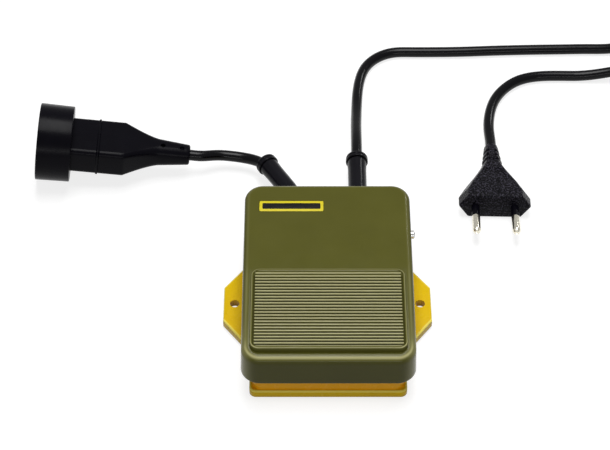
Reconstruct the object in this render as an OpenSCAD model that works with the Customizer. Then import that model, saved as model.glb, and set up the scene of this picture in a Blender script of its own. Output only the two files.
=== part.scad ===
// Mains foot switch: a hinged pedal cover over a base tray with a snap-action switch,
// a through lead with a two-pole coupler on one side and a two-pin plug on the other.
// Millimetres. +Z is up, -Y is the toe end of the pedal, the ground is Z = 0.

/* [Base] */
// Width of the base rim
base_w = 70.6; // [66:0.1:74]
// Length of the base rim
base_l = 99.2; // [95:0.1:100]
// Thickness of the base rim and of the fixing ears
rim_t = 4; // [3:0.1:5]
// Corner radius of the base in plan
base_r = 3; // [2:0.5:6]
// Step from the rim in to the tray wall
tray_step = 1.2; // [0.8:0.1:2]
// Thickness of the tray wall
tray_wall = 2; // [1.5:0.1:3]
// Thickness of the tray floor
floor_t = 2.2; // [1.5:0.1:3]
// Height of the tray wall above the ground
tray_top = 18; // [17.5:0.1:19]
// Width across the two fixing ears
ears_w = 96.2; // [92:0.1:110]
// Length of the straight outer edge of an ear
ear_edge = 20.7; // [12:0.1:30]
// How much an ear grows in length per millimetre towards the base, at each end
ear_flare = 1.35; // [0.8:0.05:1.5]
// Place of the ears along the base
ear_y = 2.7; // [-10:0.1:10]
// Distance between the two fixing holes
fix_spacing = 86; // [82:0.5:90]
// Diameter of a fixing hole
fix_d = 4.4; // [3:0.1:5.5]
// Diameter of a rubber foot
foot_d = 10; // [6:0.5:14]
// Height of a rubber foot
foot_h = 1.6; // [1.2:0.1:2]
// How far a foot stands below the base
foot_proud = 0.8; // [0.4:0.1:1]

/* [Pedal cover] */
// How far the cover reaches over the base rim, at each side and at each end
cover_over = [3.7, 2.4]; // [1.9:0.1:6]
// Corner radius of the cover in plan
cover_r = 9; // [6:0.5:12]
// Radius of the cover's upper edges
cover_edge = 3.2; // [1.5:0.1:4]
// Wall thickness of the cover
cover_wall = 2; // [1.6:0.1:2.4]
// How much the cover widens from its shoulder to its hem, each side
cover_draft = 0.4; // [0:0.1:0.8]
// Height of the cover's hem above the ground
hem_z = 13; // [12:0.1:14]
// Height of the cover where the tread starts
crown_z = 32.8; // [32:0.1:36]
// Rise of the cover per millimetre from the tread to the heel
heel_slope = 0.04; // [0:0.005:0.06]
// Fall of the cover per millimetre from the tread's start to the toe
toe_slope = 0.09; // [0.06:0.005:0.1]
// Place where the tread starts
tread_y = -1; // [-6:0.5:4]
// Length and width of the raised tread
tread_size = [69.6, 46]; // [30:0.1:72]
// Corner radius of the tread
tread_r = 4; // [2:0.5:7]
// Height of the tread over the cover at its heel end
tread_rise = 0.3; // [0.2:0.1:0.8]
// Width of the smooth border round the ribs
tread_border = 1.1; // [0.8:0.1:2]
// Number of grooves in the tread
groove_n = 25; // [10:1:26]
// Distance from one tread rib to the next
rib_pitch = 1.74; // [1.6:0.02:1.8]
// Width of a groove
groove_w = 0.8; // [0.5:0.1:1]
// Depth of a groove
groove_depth = 0.6; // [0.3:0.1:0.8]
// Size of the shallow field for a label
label_size = [30, 6.6]; // [5:0.1:40]
// Centre of the label field
label_at = [-16.7, 37.1]; // [-30:0.1:45]
// Depth of the label field
label_depth = 0.4; // [0.2:0.1:0.6]

/* [Hinge and spring] */
// Height of the hinge axis
hinge_z = 23; // [22.8:0.1:24]
// Place of the hinge axis along the base
hinge_y = 29.5; // [28:0.1:31]
// Diameter of the hinge axle
axle_d = 4; // [3:0.1:4.2]
// How far the axle stands out of the cover at its right end
axle_proud = 1.8; // [0.5:0.1:3]
// Running clearance of the axle in its bores, on the radius
axle_gap = 0.05; // [0.02:0.01:0.1]
// Width of a hinge lug
lug_w = 6; // [4:0.1:8]
// Outer radius of a hinge lug and of the cover's hinge boss
lug_r = 5.2; // [4.5:0.1:5.5]
// Outer diameter of the return spring
spring_d = 12; // [9:0.1:14]
// Diameter of the spring wire
spring_wire = 1.2; // [0.8:0.1:1.4]
// Number of turns of the return spring
spring_turns = 7; // [5:1:9]
// Place of the return spring along the base
spring_y = -31; // [-34:0.5:-28]
// Full travel of the pedal
travel = 5; // [3:0.5:5.5]

/* [Switch and lid] */
// Length, width and height of the snap-action switch
switch_size = [19.8, 6.4, 10.2]; // [5:0.1:21]
// Distance from the hinge axis forward to the switch's button
switch_arm = 12; // [10.5:0.1:13]
// Distance between the switch's two screw holes
switch_hole_spacing = 9.5; // [8:0.1:11]
// Diameter of the switch screws
switch_screw_d = 2; // [1.6:0.1:2.2]
// Length of the switch terminals
terminal_l = 2.8; // [2:0.1:3]
// Height of the switch button over the switch at rest
button_h = 1.1; // [1:0.1:1.3]
// Diameter of the push pin's stem
pin_stem_d = 5; // [3:0.1:6]
// Diameter of the push pin's head
pin_head_d = 8; // [6.5:0.1:10]
// Thickness of the push pin's head
pin_head_h = 1.2; // [0.8:0.1:1.6]
// Thickness of the inner lid
lid_t = 2; // [1.5:0.1:2.4]
// Place of the lid's front edge
lid_front_y = -18; // [-22:0.5:-14]
// Diameter of the lid screws
lid_screw_d = 3; // [2.5:0.1:3.5]

/* [Leads] */
// Diameter of the sheathed lead
cord_d = 5.4; // [5:0.1:5.8]
// Distance of each lead from the middle
lead_x = 15.2; // [12:0.1:18]
// Height of the leads where they enter the base
lead_z = 9.5; // [9:0.1:10]
// Outer diameter of a bend sleeve at the base
sleeve_d = 8.8; // [8:0.1:9.4]
// Outer diameter of a bend sleeve at its collar
sleeve_end_d = 9.5; // [8.8:0.1:10.4]
// Diameter of a sleeve's collar
collar_d = 10.9; // [10:0.1:12]
// Length of a sleeve's collar
collar_l = 3.4; // [2:0.2:6]
// Length of the straight sleeve behind the base
sleeve_len = 46.6; // [42:0.2:56]
// Radius of the bent sleeve
sleeve_bend = 30; // [24:1:40]
// Angle that the bent sleeve turns through
sleeve_turn = 31; // [20:1:36]
// Length of the bent sleeve behind its bend
sleeve_run = 20.4; // [18:0.2:24]
// Diameter of an inner conductor with its insulation
wire_d = 1.8; // [1.4:0.1:2.2]
// Gap between neighbouring turns of the coiled lead
coil_gap = 0.6; // [0.55:0.05:1]
// Radius of the innermost turn of the coil
coil_inner = 22; // [21.6:0.1:26]
// Thickness of a coil tie
tie_t = 0.6; // [0.4:0.1:1]
// Width of a coil tie
tie_w = 6; // [4:0.5:10]

/* [Plug] */
// Width, length and thickness of the plug body
plug_size = [35.3, 45, 13.7]; // [12:0.1:46]
// Width of the flat upper and lower face of the plug
plug_flat = 25.6; // [18:0.1:30]
// Depth of the plug's widest band
plug_band = 6; // [4:0.1:8]
// Distance from the plug's face to its waist
plug_waist_y = 29.5; // [26:0.1:33]
// Width of the plug at its waist
plug_waist_w = 11; // [9.5:0.1:13]
// Diameter of the plug's tail
plug_tail_d = 7.4; // [7:0.1:8.5]
// Diameter of a contact pin
pin_d = 4; // [3.8:0.1:4.8]
// Free length of a contact pin
pin_l = 19; // [16:0.5:20]
// Distance between the two contact pins
pin_spacing = 19; // [18:0.1:20]
// Depth of a contact pin inside the plug
pin_root = 8; // [5:0.5:12]
// Angle that the plug is turned to the side
plug_turn = 1.5; // [0:0.5:5]

/* [Coupler] */
// Clearance between a plug's width and the coupler's recess
recess_gap = 0.4; // [0.3:0.1:1]
// Wall of the coupler's collar
recess_wall = 1; // [0.9:0.1:2]
// Length of the coupler's collar
collar_len = 16.5; // [13:0.1:19]
// Depth of the coupler's recess
recess_depth = 9.5; // [8:0.1:11]
// Width and thickness of the coupler's body
coupler_body = [25.4, 14.6]; // [13:0.1:28]
// Distance from the open face to the joint between the two shells
coupler_joint = 30; // [29:0.1:32]
// Distance from the open face to the end of the straight body
coupler_neck = 42; // [40:0.1:44]
// Distance from the open face to the start of the tail
coupler_tail_x = 59.5; // [57:0.1:62]
// Overall length of the coupler
coupler_len = 74.5; // [72:0.1:80]
// Diameter of the coupler's tail at its root and at its end
coupler_tail_d = [11.9, 9.7]; // [9:0.1:14]
// Thickness of the coupler's face plate
plate_t = 2.5; // [2:0.1:3]
// Outer diameter of a contact tube
contact_od = 5; // [4.9:0.1:5.4]
// Angle at which the coupler leans down to its lead
coupler_lean = 7.3; // [5:0.1:9]

/* [Hidden] */

$fn = 48;
eps = 0.01;
seat_gap = 0.3;      // clearance between pieces that move past each other
fit_gap = 0.05;      // clearance between fixed pieces that fit into each other
screw_fit = 0.1;     // how much narrower a screw is than its hole, on the radius

// Base
base_z = foot_proud;
floor_z = base_z + floor_t;
rim_z = base_z + rim_t;
tray_w = base_w - 2 * tray_step;
tray_l = base_l - 2 * tray_step;
tray_r = base_r + 1.5;
foot_inset = [9, 11];
lid_z = tray_top + lid_t;

// Cover
cover_w = base_w + 2 * cover_over.x;
cover_l = base_l + 2 * cover_over.y;
corner_steps = 8;
edge_steps = 4;
cover_inner_w = cover_w - 2 * cover_draft - 2 * cover_wall;
toe_stop_y = -tray_l / 2 + tray_wall / 2;
heel_stop_y = tray_l / 2 - 2;
stop_size = [8, 1.6];

// Hinge and spring
axle_inset = 0.6;    // how far the axle's left end stays inside the cover's wall
axle_l = cover_w + axle_proud - axle_inset;
axle_x = (axle_proud + axle_inset) / 2;
lug_x = tray_w / 2 - lug_w;
spring_seat_d = spring_d - 2 * spring_wire - 0.6;
spring_seat_h = 4;
spring_top_z = ceiling_z(spring_y) - 1;
spring_cup_h = 3;

// Switch
switch_y = hinge_y - switch_arm;
switch_x = 2.6;
switch_z = floor_z + 0.2 + terminal_l;
switch_top = switch_z + switch_size.z;
button_top = switch_top + button_h;
switch_travel = switch_arm * sin(travel);
pin_head_z = lid_z + switch_travel + seat_gap;
pin_top = pin_head_z + pin_head_h;
bracket_t = 3;
bracket_y = switch_y + switch_size.y / 2 + fit_gap;
switch_screw_z = switch_z + 3;

// Lead clamps and terminal block
clamp_inset = 8.9;
clamp_y = tray_l / 2 - clamp_inset;
clamp_size = [20, 6, 2.2];
clamp_screw_d = 2.4;
clamp_screw_l = 9;
clamp_screw_x = 6.8;
clamp_top = lead_z + cord_d / 2 + clamp_size.z;
lead_end_y = clamp_y - 6;
core_x = 1.2;
terminal_t = 0.5;
terminal_pitch = 7.6;
terminal_x = terminal_pitch + terminal_t / 2;
wire_z = floor_z + 1.2;
wire_side = switch_size.x / 2 + 1 + wire_d / 2 + 2 * seat_gap;
block_at = [-17, 3];
block_size = [9, 17, 11];
block_bore = 3.4;
block_wall = 1.4;
block_screw_y = 4.6;
lid_post_d = 6.4;
lid_screw_l = 8;
lid_posts = [for (x = [-1, 1], y = [lid_front_y + 4.6, hinge_y - lug_r - 6])
             [x * (tray_w / 2 - tray_wall - lid_post_d / 2 + 0.4), y]];

// Places behind the base are measured from the rear of the tray
back_y = tray_l / 2;
function behind(points) = [for (p = points) p + [0, back_y, 0]];

// Place and direction of the bent sleeve's mouth, and where the lead leaves it
sleeve_end_y = back_y + sleeve_len;
sleeve_straight = 10.6;
sleeve_bore = cord_d / 2 + axle_gap;
mouth_l = 8;
joint_turn = 0.5;    // how far the bent part reaches into each straight part, in degrees
mouth_r = sleeve_bore + 1.4;
mouth_drop = 0.6;
mouth_turn = 20;
sleeve_dir = [-sin(sleeve_turn), cos(sleeve_turn), 0];
bend_end = [-lead_x - sleeve_bend * (1 - cos(sleeve_turn)),
            back_y + sleeve_straight + sleeve_bend * sin(sleeve_turn), lead_z];
mouth = bend_end + sleeve_run * sleeve_dir;
exit_turn = sleeve_turn + mouth_turn;
exit_dir = unit([-sin(exit_turn), cos(exit_turn), -0.18]);
exit_at = mouth + [-cos(sleeve_turn), -sin(sleeve_turn), 0] - [0, 0, mouth_drop];

// Coupler: its size over the recess, and the place of its tail when its collar rests on the ground
recess_d = plug_size.x + recess_gap;
coupler_od = recess_d + 2 * recess_wall;
collar_taper = 0.35;
collar_chamfer = 0.6;
coupler_at = [-67.4, back_y + 47.2, (coupler_od / 2 - collar_taper) * cos(coupler_lean)
              - (coupler_len - collar_len + collar_chamfer) * sin(coupler_lean)];
coupler_dir = [cos(coupler_lean), 0, -sin(coupler_lean)];

// Plug: the place of its tail when its face rests on the ground, and its direction
plug_tilt = atan((plug_size.z - plug_tail_d) / 2 / (plug_size.y - plug_band));
plug_tail = [82.8, back_y + 59.6, plug_tail_d / 2];
plug_dir = [sin(plug_turn) * cos(plug_tilt), cos(plug_turn) * cos(plug_tilt), -sin(plug_tilt)];

// Route of the coupler's lead, from the bent sleeve to the coupler's tail
coupler_route = concat([exit_at, exit_at + cord_d * exit_dir],
                       behind([[-40, 48.5, 7.5], [-46.8, 49.7, 7.7], [-54.4, 49.3, 8.7]]),
                       [coupler_at + cord_d * coupler_dir, coupler_at]);
// Route of the mains lead, from the straight sleeve to the coil
out_route = concat(
  [[lead_x, sleeve_end_y, lead_z], [lead_x, sleeve_end_y + cord_d, lead_z]],
  behind([[15.3, 61.6, 8.6], [15.4, 71.6, 6.5], [15.7, 81.6, 4.3], [16.1, 91.6, 2.9],
          [16.8, 102.6, 2.7], [18.3, 112.8, 2.7], [21.6, 122.3, 2.7], [27.8, 129.6, 2.7],
          [35.6, 133.4, 2.7], [45, 134, 2.7], [58, 134, 2.7], [72, 134.3, 2.7], [86, 135, 2.7],
          [100, 135.6, 2.7], [114, 136, 2.7], [128, 136.3, 2.7], [138, 136.5, 2.7],
          [148, 136.6, 2.7], [154.3, 137.5, 2.8], [160.1, 140.2, 3.1], [164.9, 144.5, 3.4],
          [168.4, 148.7, 3.4]]));
// Coil of the mains lead, which carries on from the last leg of its route
coil_start = out_route[len(out_route) - 1];
coil_heading = unit(coil_start - out_route[len(out_route) - 2]);
coil_turn = atan2(coil_heading.y, coil_heading.x);
coil_whole_loops = 6;
coil_loops = coil_whole_loops + 2 * (90 + coil_turn) / 360;
coil_pitch = cord_d + coil_gap;
coil_fold = 0.1;
coil_outer = coil_r(coil_loops / 2);
coil_centre = coil_start + cord_d * coil_heading
              + coil_outer * [sin(coil_turn), -cos(coil_turn), 0];
coil_rings = 24;
coil_away = [-coil_heading.x, coil_heading.y, 0];
coil_end = coil_point(coil_loops) + cord_d * coil_away;

// Route of the mains lead, from the coil back to the plug's tail
in_route = concat(
  [coil_end, coil_end + cord_d * coil_away],
  behind([[160.1, 111.8, 8.9], [154.3, 114.2, 7.3], [148, 114.9, 5.5], [139, 115, 3.6],
          [130, 115.1, 2.7], [120.5, 115.2, 2.7], [111, 114.7, 2.7], [101.6, 112, 2.7],
          [93.4, 105.6, 2.7], [87.2, 96.1, 2.7], [84, 85.6, 2.7], [82.8, 73.6, 2.8]]),
  [plug_tail + cord_d * plug_dir, plug_tail]);

// Details of the plug and the coupler
pin_root_d = pin_d + 0.8;
plug_grooves = [31.5, 35.2, 38.9];
plug_groove = [1.2, 0.7];
dimple_x = [4.1, 13.5];
dimple_y = -1;
contact_id = pin_d + 0.2;
contact_z0 = recess_depth + plate_t;
contact_l = recess_depth + pin_l + 0.5 - contact_z0;

// Height of the cover's upper face at a place along the cover
function crown(y) = y >= tread_y ? crown_z + heel_slope * (y - tread_y)
                                 : crown_z + toe_slope * (y - tread_y);
// Height of the cover's inner face at a place along the cover
function ceiling_z(y) = crown(y) - cover_wall;
// Height of the tread's ribs at a place along the cover
function tread_z(y) = crown_z + tread_rise + heel_slope * (y - tread_y);

function unit(v) = v / norm(v);

// Points of an arc in the plane, both ends included
function arc(c, r, a0, a1, n) = [for (i = [0 : n]) let (a = a0 + (a1 - a0) * i / n)
                                 c + r * [cos(a), sin(a)]];

// Plan of the cover: a rounded rectangle with a point on each side where the tread starts
function plan(inset) =
  let (w = cover_w / 2 - inset, l = cover_l / 2 - inset, r = max(cover_r - inset, 1))
  concat([[w, tread_y]], arc([w - r, l - r], r, 0, 90, corner_steps),
         arc([r - w, l - r], r, 90, 180, corner_steps), [[-w, tread_y]],
         arc([r - w, r - l], r, 180, 270, corner_steps),
         arc([w - r, r - l], r, 270, 360, corner_steps));

// A ring of the cover that follows its crown, and one at a level height
function crown_ring(inset, drop) = [for (p = plan(inset)) [p.x, p.y, crown(p.y) - drop]];
function level_ring(inset, z) = [for (p = plan(inset)) [p.x, p.y, z]];

// Rings of a rounded edge of radius r, from its flat face down to its wall
function edge_rings(inset, drop, r) = [for (i = [0 : edge_steps]) let (a = 90 - 90 * i / edge_steps)
                                       crown_ring(inset + r - r * cos(a), drop + r - r * sin(a))];

// Rings of a tube of radius r along a path
function tube_rings(path, r, sides) =
  [for (k = [0 : len(path) - 1])
   let (t = unit(path[min(k + 1, len(path) - 1)] - path[max(k - 1, 0)]),
        right = unit(cross(t, [0, 0, 1])), up = cross(right, t))
   [for (j = [0 : sides - 1]) let (a = 360 * j / sides - 90)
    path[k] + r * (cos(a) * right + sin(a) * up)]];

// Triangles between neighbouring rings of n points
function side_faces(rings, n) =
  [for (k = [0 : rings - 2], i = [0 : n - 1], s = [0, 1])
   let (a = k * n + i, b = k * n + (i + 1) % n) s == 0 ? [a, b, b + n] : [a, b + n, a + n]];

// A closed skin over a stack of rings
module skin(rings, first_caps, last_caps) {
  n = len(rings[0]);
  last = (len(rings) - 1) * n;
  polyhedron(points = [for (r = rings) each r],
             faces = concat([for (c = first_caps) [for (i = [len(c) - 1 : -1 : 0]) c[i]]],
                            side_faces(len(rings), n),
                            [for (c = last_caps) [for (i = c) i + last]]));
}

// A skin whose two ends are flat
module loft(rings) {
  cap = [for (i = [0 : len(rings[0]) - 1]) i];
  skin(rings, [cap], [cap]);
}

// A round tube along a path
module tube(path, d, sides) {
  loft(tube_rings(path, d / 2, sides));
}

// A plate with rounded corners, drawn from true arcs
module plate(w, l, r) {
  square([w - 2 * r, l], center = true);
  square([w, l - 2 * r], center = true);
  for (x = [-1, 1], y = [-1, 1]) translate([x * (w / 2 - r), y * (l / 2 - r)]) circle(r);
}

// A cylinder along X, centred
module rod_x(d, l) {
  rotate([0, 90, 0]) cylinder(d = d, h = l, center = true);
}

// A pan-head screw whose head sits on Z = 0 and whose shank points down
module screw(d, l) {
  difference() {
    cylinder(d = 1.9 * d, h = d / 2);
    translate([-d, -0.2 * d, d / 4]) cube([2 * d, 0.4 * d, d]);
  }
  translate([0, 0, -l]) cylinder(d = d - 2 * screw_fit, h = l + eps);
}

// Outline of the base with its two fixing ears
module base_outline() {
  plate(base_w, base_l, base_r);
  for (s = [-1, 1])
    translate([0, ear_y])
      polygon([[s * (base_w / 2 - 2), -ear_half(base_w / 2 - 2)],
               [s * ears_w / 2, -ear_edge / 2], [s * ears_w / 2, ear_edge / 2],
               [s * (base_w / 2 - 2), ear_half(base_w / 2 - 2)]]);
}
// Half length of an ear at a distance from the middle of the base
function ear_half(x) = ear_edge / 2 + ear_flare * (ears_w / 2 - x);

module base_tray() {
  color("gold") difference() {
    union() {
      translate([0, 0, base_z]) linear_extrude(rim_t) base_outline();
      translate([0, 0, base_z]) linear_extrude(tray_top - base_z) plate(tray_w, tray_l, tray_r);
      hinge_lugs();
    }
    tray_hollow();
    for (x = [-1, 1]) translate([x * fix_spacing / 2, ear_y, 0]) cylinder(d = fix_d, h = rim_z + 1);
    for (x = [-1, 1], y = [-1, 1])
      translate([x * (base_w / 2 - foot_inset.x), y * (base_l / 2 - foot_inset.y), 0])
        cylinder(d = foot_d + 2 * fit_gap, h = foot_h);
    translate([0, hinge_y, hinge_z]) rod_x(axle_d + 2 * axle_gap, base_w + 1);
    for (x = [-lead_x, lead_x])
      translate([x, tray_l / 2 - tray_wall - 1, lead_z])
        rotate([-90, 0, 0]) cylinder(d = sleeve_d + 2 * fit_gap, h = tray_wall + 2);
    for (p = lid_posts) translate([p.x, p.y, tray_top - lid_screw_l - 1])
      cylinder(d = lid_screw_d, h = lid_screw_l + 2);
  }
}

// Rounded uprights that carry the hinge axle
module hinge_lugs() {
  for (s = [-1, 1])
    translate([s * (lug_x + lug_w / 2), hinge_y, 0]) {
      translate([0, 0, hinge_z]) rod_x(2 * lug_r, lug_w);
      translate([-lug_w / 2, -lug_r, floor_z]) cube([lug_w, 2 * lug_r, hinge_z - floor_z]);
    }
}

// The inside of the tray, which leaves standing what the tray carries
module tray_hollow() {
  difference() {
    translate([0, 0, floor_z]) linear_extrude(tray_top)
      plate(tray_w - 2 * tray_wall, tray_l - 2 * tray_wall, tray_r - tray_wall);
    hinge_lugs();
    translate([-tray_w / 2, lid_front_y, 0]) cube([tray_w, tray_wall, tray_top]);
    for (p = lid_posts) translate(p) cylinder(d = lid_post_d, h = tray_top);
    translate([0, spring_y, 0]) cylinder(d = spring_seat_d, h = floor_z + spring_seat_h);
    switch_bracket();
    for (x = [-lead_x, lead_x]) clamp_saddle(x);
    translate([block_at.x - block_size.x / 2 - block_wall, block_at.y - block_size.y / 2, 0])
      cube([block_wall - fit_gap, block_size.y, floor_z + 4]);
  }
}

// Upright that the snap-action switch is screwed to
module switch_bracket() {
  difference() {
    translate([switch_x - switch_size.x / 2 - 1, bracket_y, 0])
      cube([switch_size.x + 2, bracket_t, switch_top]);
    switch_holes(bracket_y - 1, bracket_t + 2);
  }
}

// The two screw holes through the switch, from a place along the base
module switch_holes(y, l) {
  for (s = [-1, 1])
    translate([switch_x + s * switch_hole_spacing / 2, y, switch_screw_z])
      rotate([-90, 0, 0]) cylinder(d = switch_screw_d, h = l);
}

// Block under a lead, with a groove for it and two screw holes
module clamp_saddle(x) {
  difference() {
    translate([x - clamp_size.x / 2, clamp_y - clamp_size.y / 2, 0])
      cube([clamp_size.x, clamp_size.y, lead_z]);
    translate([x, clamp_y, lead_z]) rotate([90, 0, 0])
      cylinder(d = cord_d + 2 * fit_gap, h = clamp_size.y + 2, center = true);
    for (s = [-1, 1])
      translate([x + s * clamp_screw_x, clamp_y, floor_z]) cylinder(d = clamp_screw_d, h = lead_z);
  }
}

module base_feet() {
  color("dimgray") for (x = [-1, 1], y = [-1, 1])
    translate([x * (base_w / 2 - foot_inset.x), y * (base_l / 2 - foot_inset.y), 0])
      cylinder(d = foot_d, h = foot_h);
}

module inner_lid() {
  color("darkslategray") translate([0, 0, tray_top]) difference() {
    intersection() {
      linear_extrude(lid_t) plate(tray_w, tray_l, tray_r);
      translate([-tray_w, lid_front_y, 0]) cube([2 * tray_w, tray_l, lid_t]);
    }
    for (s = [-1, 1])
      translate([s * (lug_x - seat_gap + lug_w), hinge_y, 0])
        cube([2 * lug_w, 2 * (lug_r + seat_gap), 3 * lid_t], center = true);
    for (p = lid_posts) translate([p.x, p.y, -1]) cylinder(d = lid_screw_d + 0.4, h = lid_t + 2);
    translate([0, switch_y, -1]) cylinder(d = pin_stem_d + 2 * axle_gap, h = lid_t + 2);
  }
}

module lid_screws() {
  color("silver") for (p = lid_posts) translate([p.x, p.y, lid_z]) screw(lid_screw_d, lid_screw_l);
}

module hinge_axle() {
  color("silver") translate([axle_x, hinge_y, hinge_z]) {
    rod_x(axle_d, axle_l - 1);
    for (s = [-1, 1]) translate([s * (axle_l - 1) / 2, 0, 0]) rotate([0, s * 90, 0])
      cylinder(d1 = axle_d, d2 = axle_d - 1, h = 0.5);
  }
}

module return_spring() {
  h = spring_top_z - floor_z - spring_wire;
  ring = 14;
  color("silver") translate([0, spring_y, floor_z + spring_wire / 2])
    loft(tube_rings([for (i = [0 : ring * spring_turns])
                     let (u = i / ring, v = min(max((u - 1) / (spring_turns - 2), 0), 1))
                     [(spring_d - spring_wire) / 2 * cos(360 * u),
                      (spring_d - spring_wire) / 2 * sin(360 * u),
                      min(u, 1) * spring_wire + max(u - spring_turns + 1, 0) * spring_wire
                      + v * (h - 2 * spring_wire)]], spring_wire / 2 - eps, 6));
}

module microswitch_body() {
  color("dimgray") difference() {
    translate([switch_x - switch_size.x / 2, switch_y - switch_size.y / 2, switch_z])
      cube(switch_size);
    switch_holes(switch_y - switch_size.y, 2 * switch_size.y);
    translate([0, switch_y, switch_top - 4]) cylinder(d = 3.1, h = 5);
  }
}

module microswitch_terminals() {
  color("goldenrod") for (x = [-terminal_pitch, 0, terminal_pitch])
    difference() {
      translate([switch_x + x - terminal_t / 2, switch_y - 1.6, switch_z - terminal_l])
        cube([terminal_t, 3.2, terminal_l]);
      translate([switch_x + x, switch_y, switch_z - terminal_l + 1.2]) rod_x(1.2, 2);
    }
}

module microswitch_button() {
  color("firebrick") translate([0, switch_y, switch_top - 2.4])
    cylinder(d = 3, h = button_h + 2.4);
}

module microswitch_screws() {
  color("silver") for (s = [-1, 1])
    translate([switch_x + s * switch_hole_spacing / 2, switch_y - switch_size.y / 2,
               switch_screw_z])
      rotate([90, 0, 0]) screw(switch_screw_d, switch_size.y + bracket_t);
}

module push_pin() {
  color("whitesmoke") translate([0, switch_y, 0]) {
    translate([0, 0, button_top]) cylinder(d = pin_stem_d, h = pin_head_z - button_top + eps);
    translate([0, 0, pin_head_z]) cylinder(d = pin_head_d, h = pin_head_h / 2);
    translate([0, 0, pin_head_z + pin_head_h / 2])
      cylinder(d1 = pin_head_d, d2 = pin_head_d - pin_head_h, h = pin_head_h / 2);
  }
}

module terminal_block() {
  color("ivory") translate([block_at.x, block_at.y, floor_z]) difference() {
    translate([-block_size.x / 2, -block_size.y / 2, 0]) cube(block_size);
    translate([0, 0, block_size.z / 2]) rotate([90, 0, 0])
      cylinder(d = block_bore + 2 * block_wall, h = block_size.y - 2 * block_wall, center = true);
    translate([0, 0, block_size.z / 2]) rotate([90, 0, 0])
      cylinder(d = block_bore, h = block_size.y + 2, center = true);
    for (s = [-1, 1]) translate([0, s * block_screw_y, block_size.z / 2])
      cylinder(d = 3.4, h = block_size.z);
  }
}

module terminal_insert() {
  color("goldenrod") translate([block_at.x, block_at.y, floor_z + block_size.z / 2]) difference() {
    rotate([90, 0, 0]) cylinder(d = block_bore + 2 * block_wall - 2 * fit_gap,
                                h = block_size.y - 2 * block_wall - 2 * fit_gap, center = true);
    rotate([90, 0, 0]) cylinder(d = block_bore, h = block_size.y, center = true);
    for (s = [-1, 1]) translate([0, s * block_screw_y, 0]) cylinder(d = 2.6, h = block_size.z);
  }
}

module terminal_screws() {
  color("silver") for (s = [-1, 1])
    translate([block_at.x, block_at.y + s * block_screw_y, floor_z + block_size.z / 2 + wire_d / 2])
      difference() {
        cylinder(d = 2.4, h = 3.2);
        translate([-2, -0.25, 2.6]) cube([4, 0.5, 2]);
      }
}

module clamp_bars() {
  color("dimgray") for (x = [-lead_x, lead_x])
    difference() {
      translate([x - clamp_size.x / 2, clamp_y - clamp_size.y / 2, lead_z + seat_gap])
        cube([clamp_size.x, clamp_size.y, clamp_top - lead_z - seat_gap]);
      translate([x, clamp_y, lead_z]) rotate([90, 0, 0])
        cylinder(d = cord_d + 2 * fit_gap, h = clamp_size.y + 2, center = true);
      for (s = [-1, 1]) translate([x + s * clamp_screw_x, clamp_y, lead_z])
        cylinder(d = clamp_screw_d + 0.3, h = lead_z);
    }
}

module clamp_screws() {
  color("silver") for (x = [-lead_x, lead_x], s = [-1, 1])
    translate([x + s * clamp_screw_x, clamp_y, clamp_top]) screw(clamp_screw_d, clamp_screw_l);
}

// Outline of a sleeve's foot, which is held behind the tray's wall
function sleeve_foot() = [[sleeve_bore, -tray_wall - 1.5], [sleeve_d / 2 + 1, -tray_wall - 1.5],
                          [sleeve_d / 2 + 1, -tray_wall - fit_gap],
                          [sleeve_d / 2, -tray_wall - fit_gap]];
// Outline of a sleeve's collar, over a length l
function sleeve_collar(l) = [[sleeve_end_d / 2, l - collar_l], [collar_d / 2 - 0.4, l - collar_l],
                             [collar_d / 2, l - collar_l + 0.4], [collar_d / 2, l - 0.8],
                             [collar_d / 2 - 0.8, l]];

module sleeve_right() {
  l = sleeve_len;
  color("dimgray") translate([lead_x, back_y, lead_z]) rotate([-90, 0, 0]) rotate_extrude()
    polygon(concat(sleeve_foot(), [[sleeve_d / 2, 0]], sleeve_collar(l), [[sleeve_bore, l]]));
}

module sleeve_left() {
  color("dimgray") {
    translate([-lead_x, back_y, lead_z]) {
      rotate([-90, 0, 0]) rotate_extrude()
        polygon(concat(sleeve_foot(), [[sleeve_d / 2, sleeve_straight],
                                       [sleeve_bore, sleeve_straight]]));
      translate([-sleeve_bend, sleeve_straight, 0]) rotate([0, 0, -joint_turn])
        rotate_extrude(angle = sleeve_turn + 2 * joint_turn) translate([sleeve_bend, 0])
          difference() {
            circle(d = sleeve_d - 2 * eps);
            circle(r = sleeve_bore + eps);
          }
    }
    translate(bend_end) rotate([-90, 0, sleeve_turn]) rotate_extrude()
      polygon(concat([[sleeve_bore, 0], [sleeve_d / 2, 0]], sleeve_collar(sleeve_run),
                     [[mouth_r, sleeve_run], [sleeve_bore, sleeve_run - mouth_l]]));
  }
}

// Path of the lead inside the bent sleeve, which leans over in the sleeve's wide mouth
function bent_lead() =
  concat([[-lead_x, lead_end_y, lead_z], [-lead_x, back_y, lead_z]],
         [for (i = [0 : 6]) let (a = sleeve_turn * i / 6)
          [-lead_x - sleeve_bend * (1 - cos(a)), back_y + sleeve_straight + sleeve_bend * sin(a),
           lead_z]],
         [mouth - mouth_l * sleeve_dir, exit_at - cord_d * 0.6 * exit_dir, exit_at]);

module lead_ends() {
  color("black") {
    tube([[lead_x, lead_end_y, lead_z], [lead_x, sleeve_end_y, lead_z]], cord_d, 10);
    tube(bent_lead(), cord_d, 10);
  }
}

module wires(paths) {
  for (p = paths) tube(p, wire_d, 8);
}

// The two legs of a wire that leave the end of a lead
function wire_start(x) = [[x, lead_end_y, lead_z], [x, lead_end_y - 2.5, lead_z]];

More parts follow.
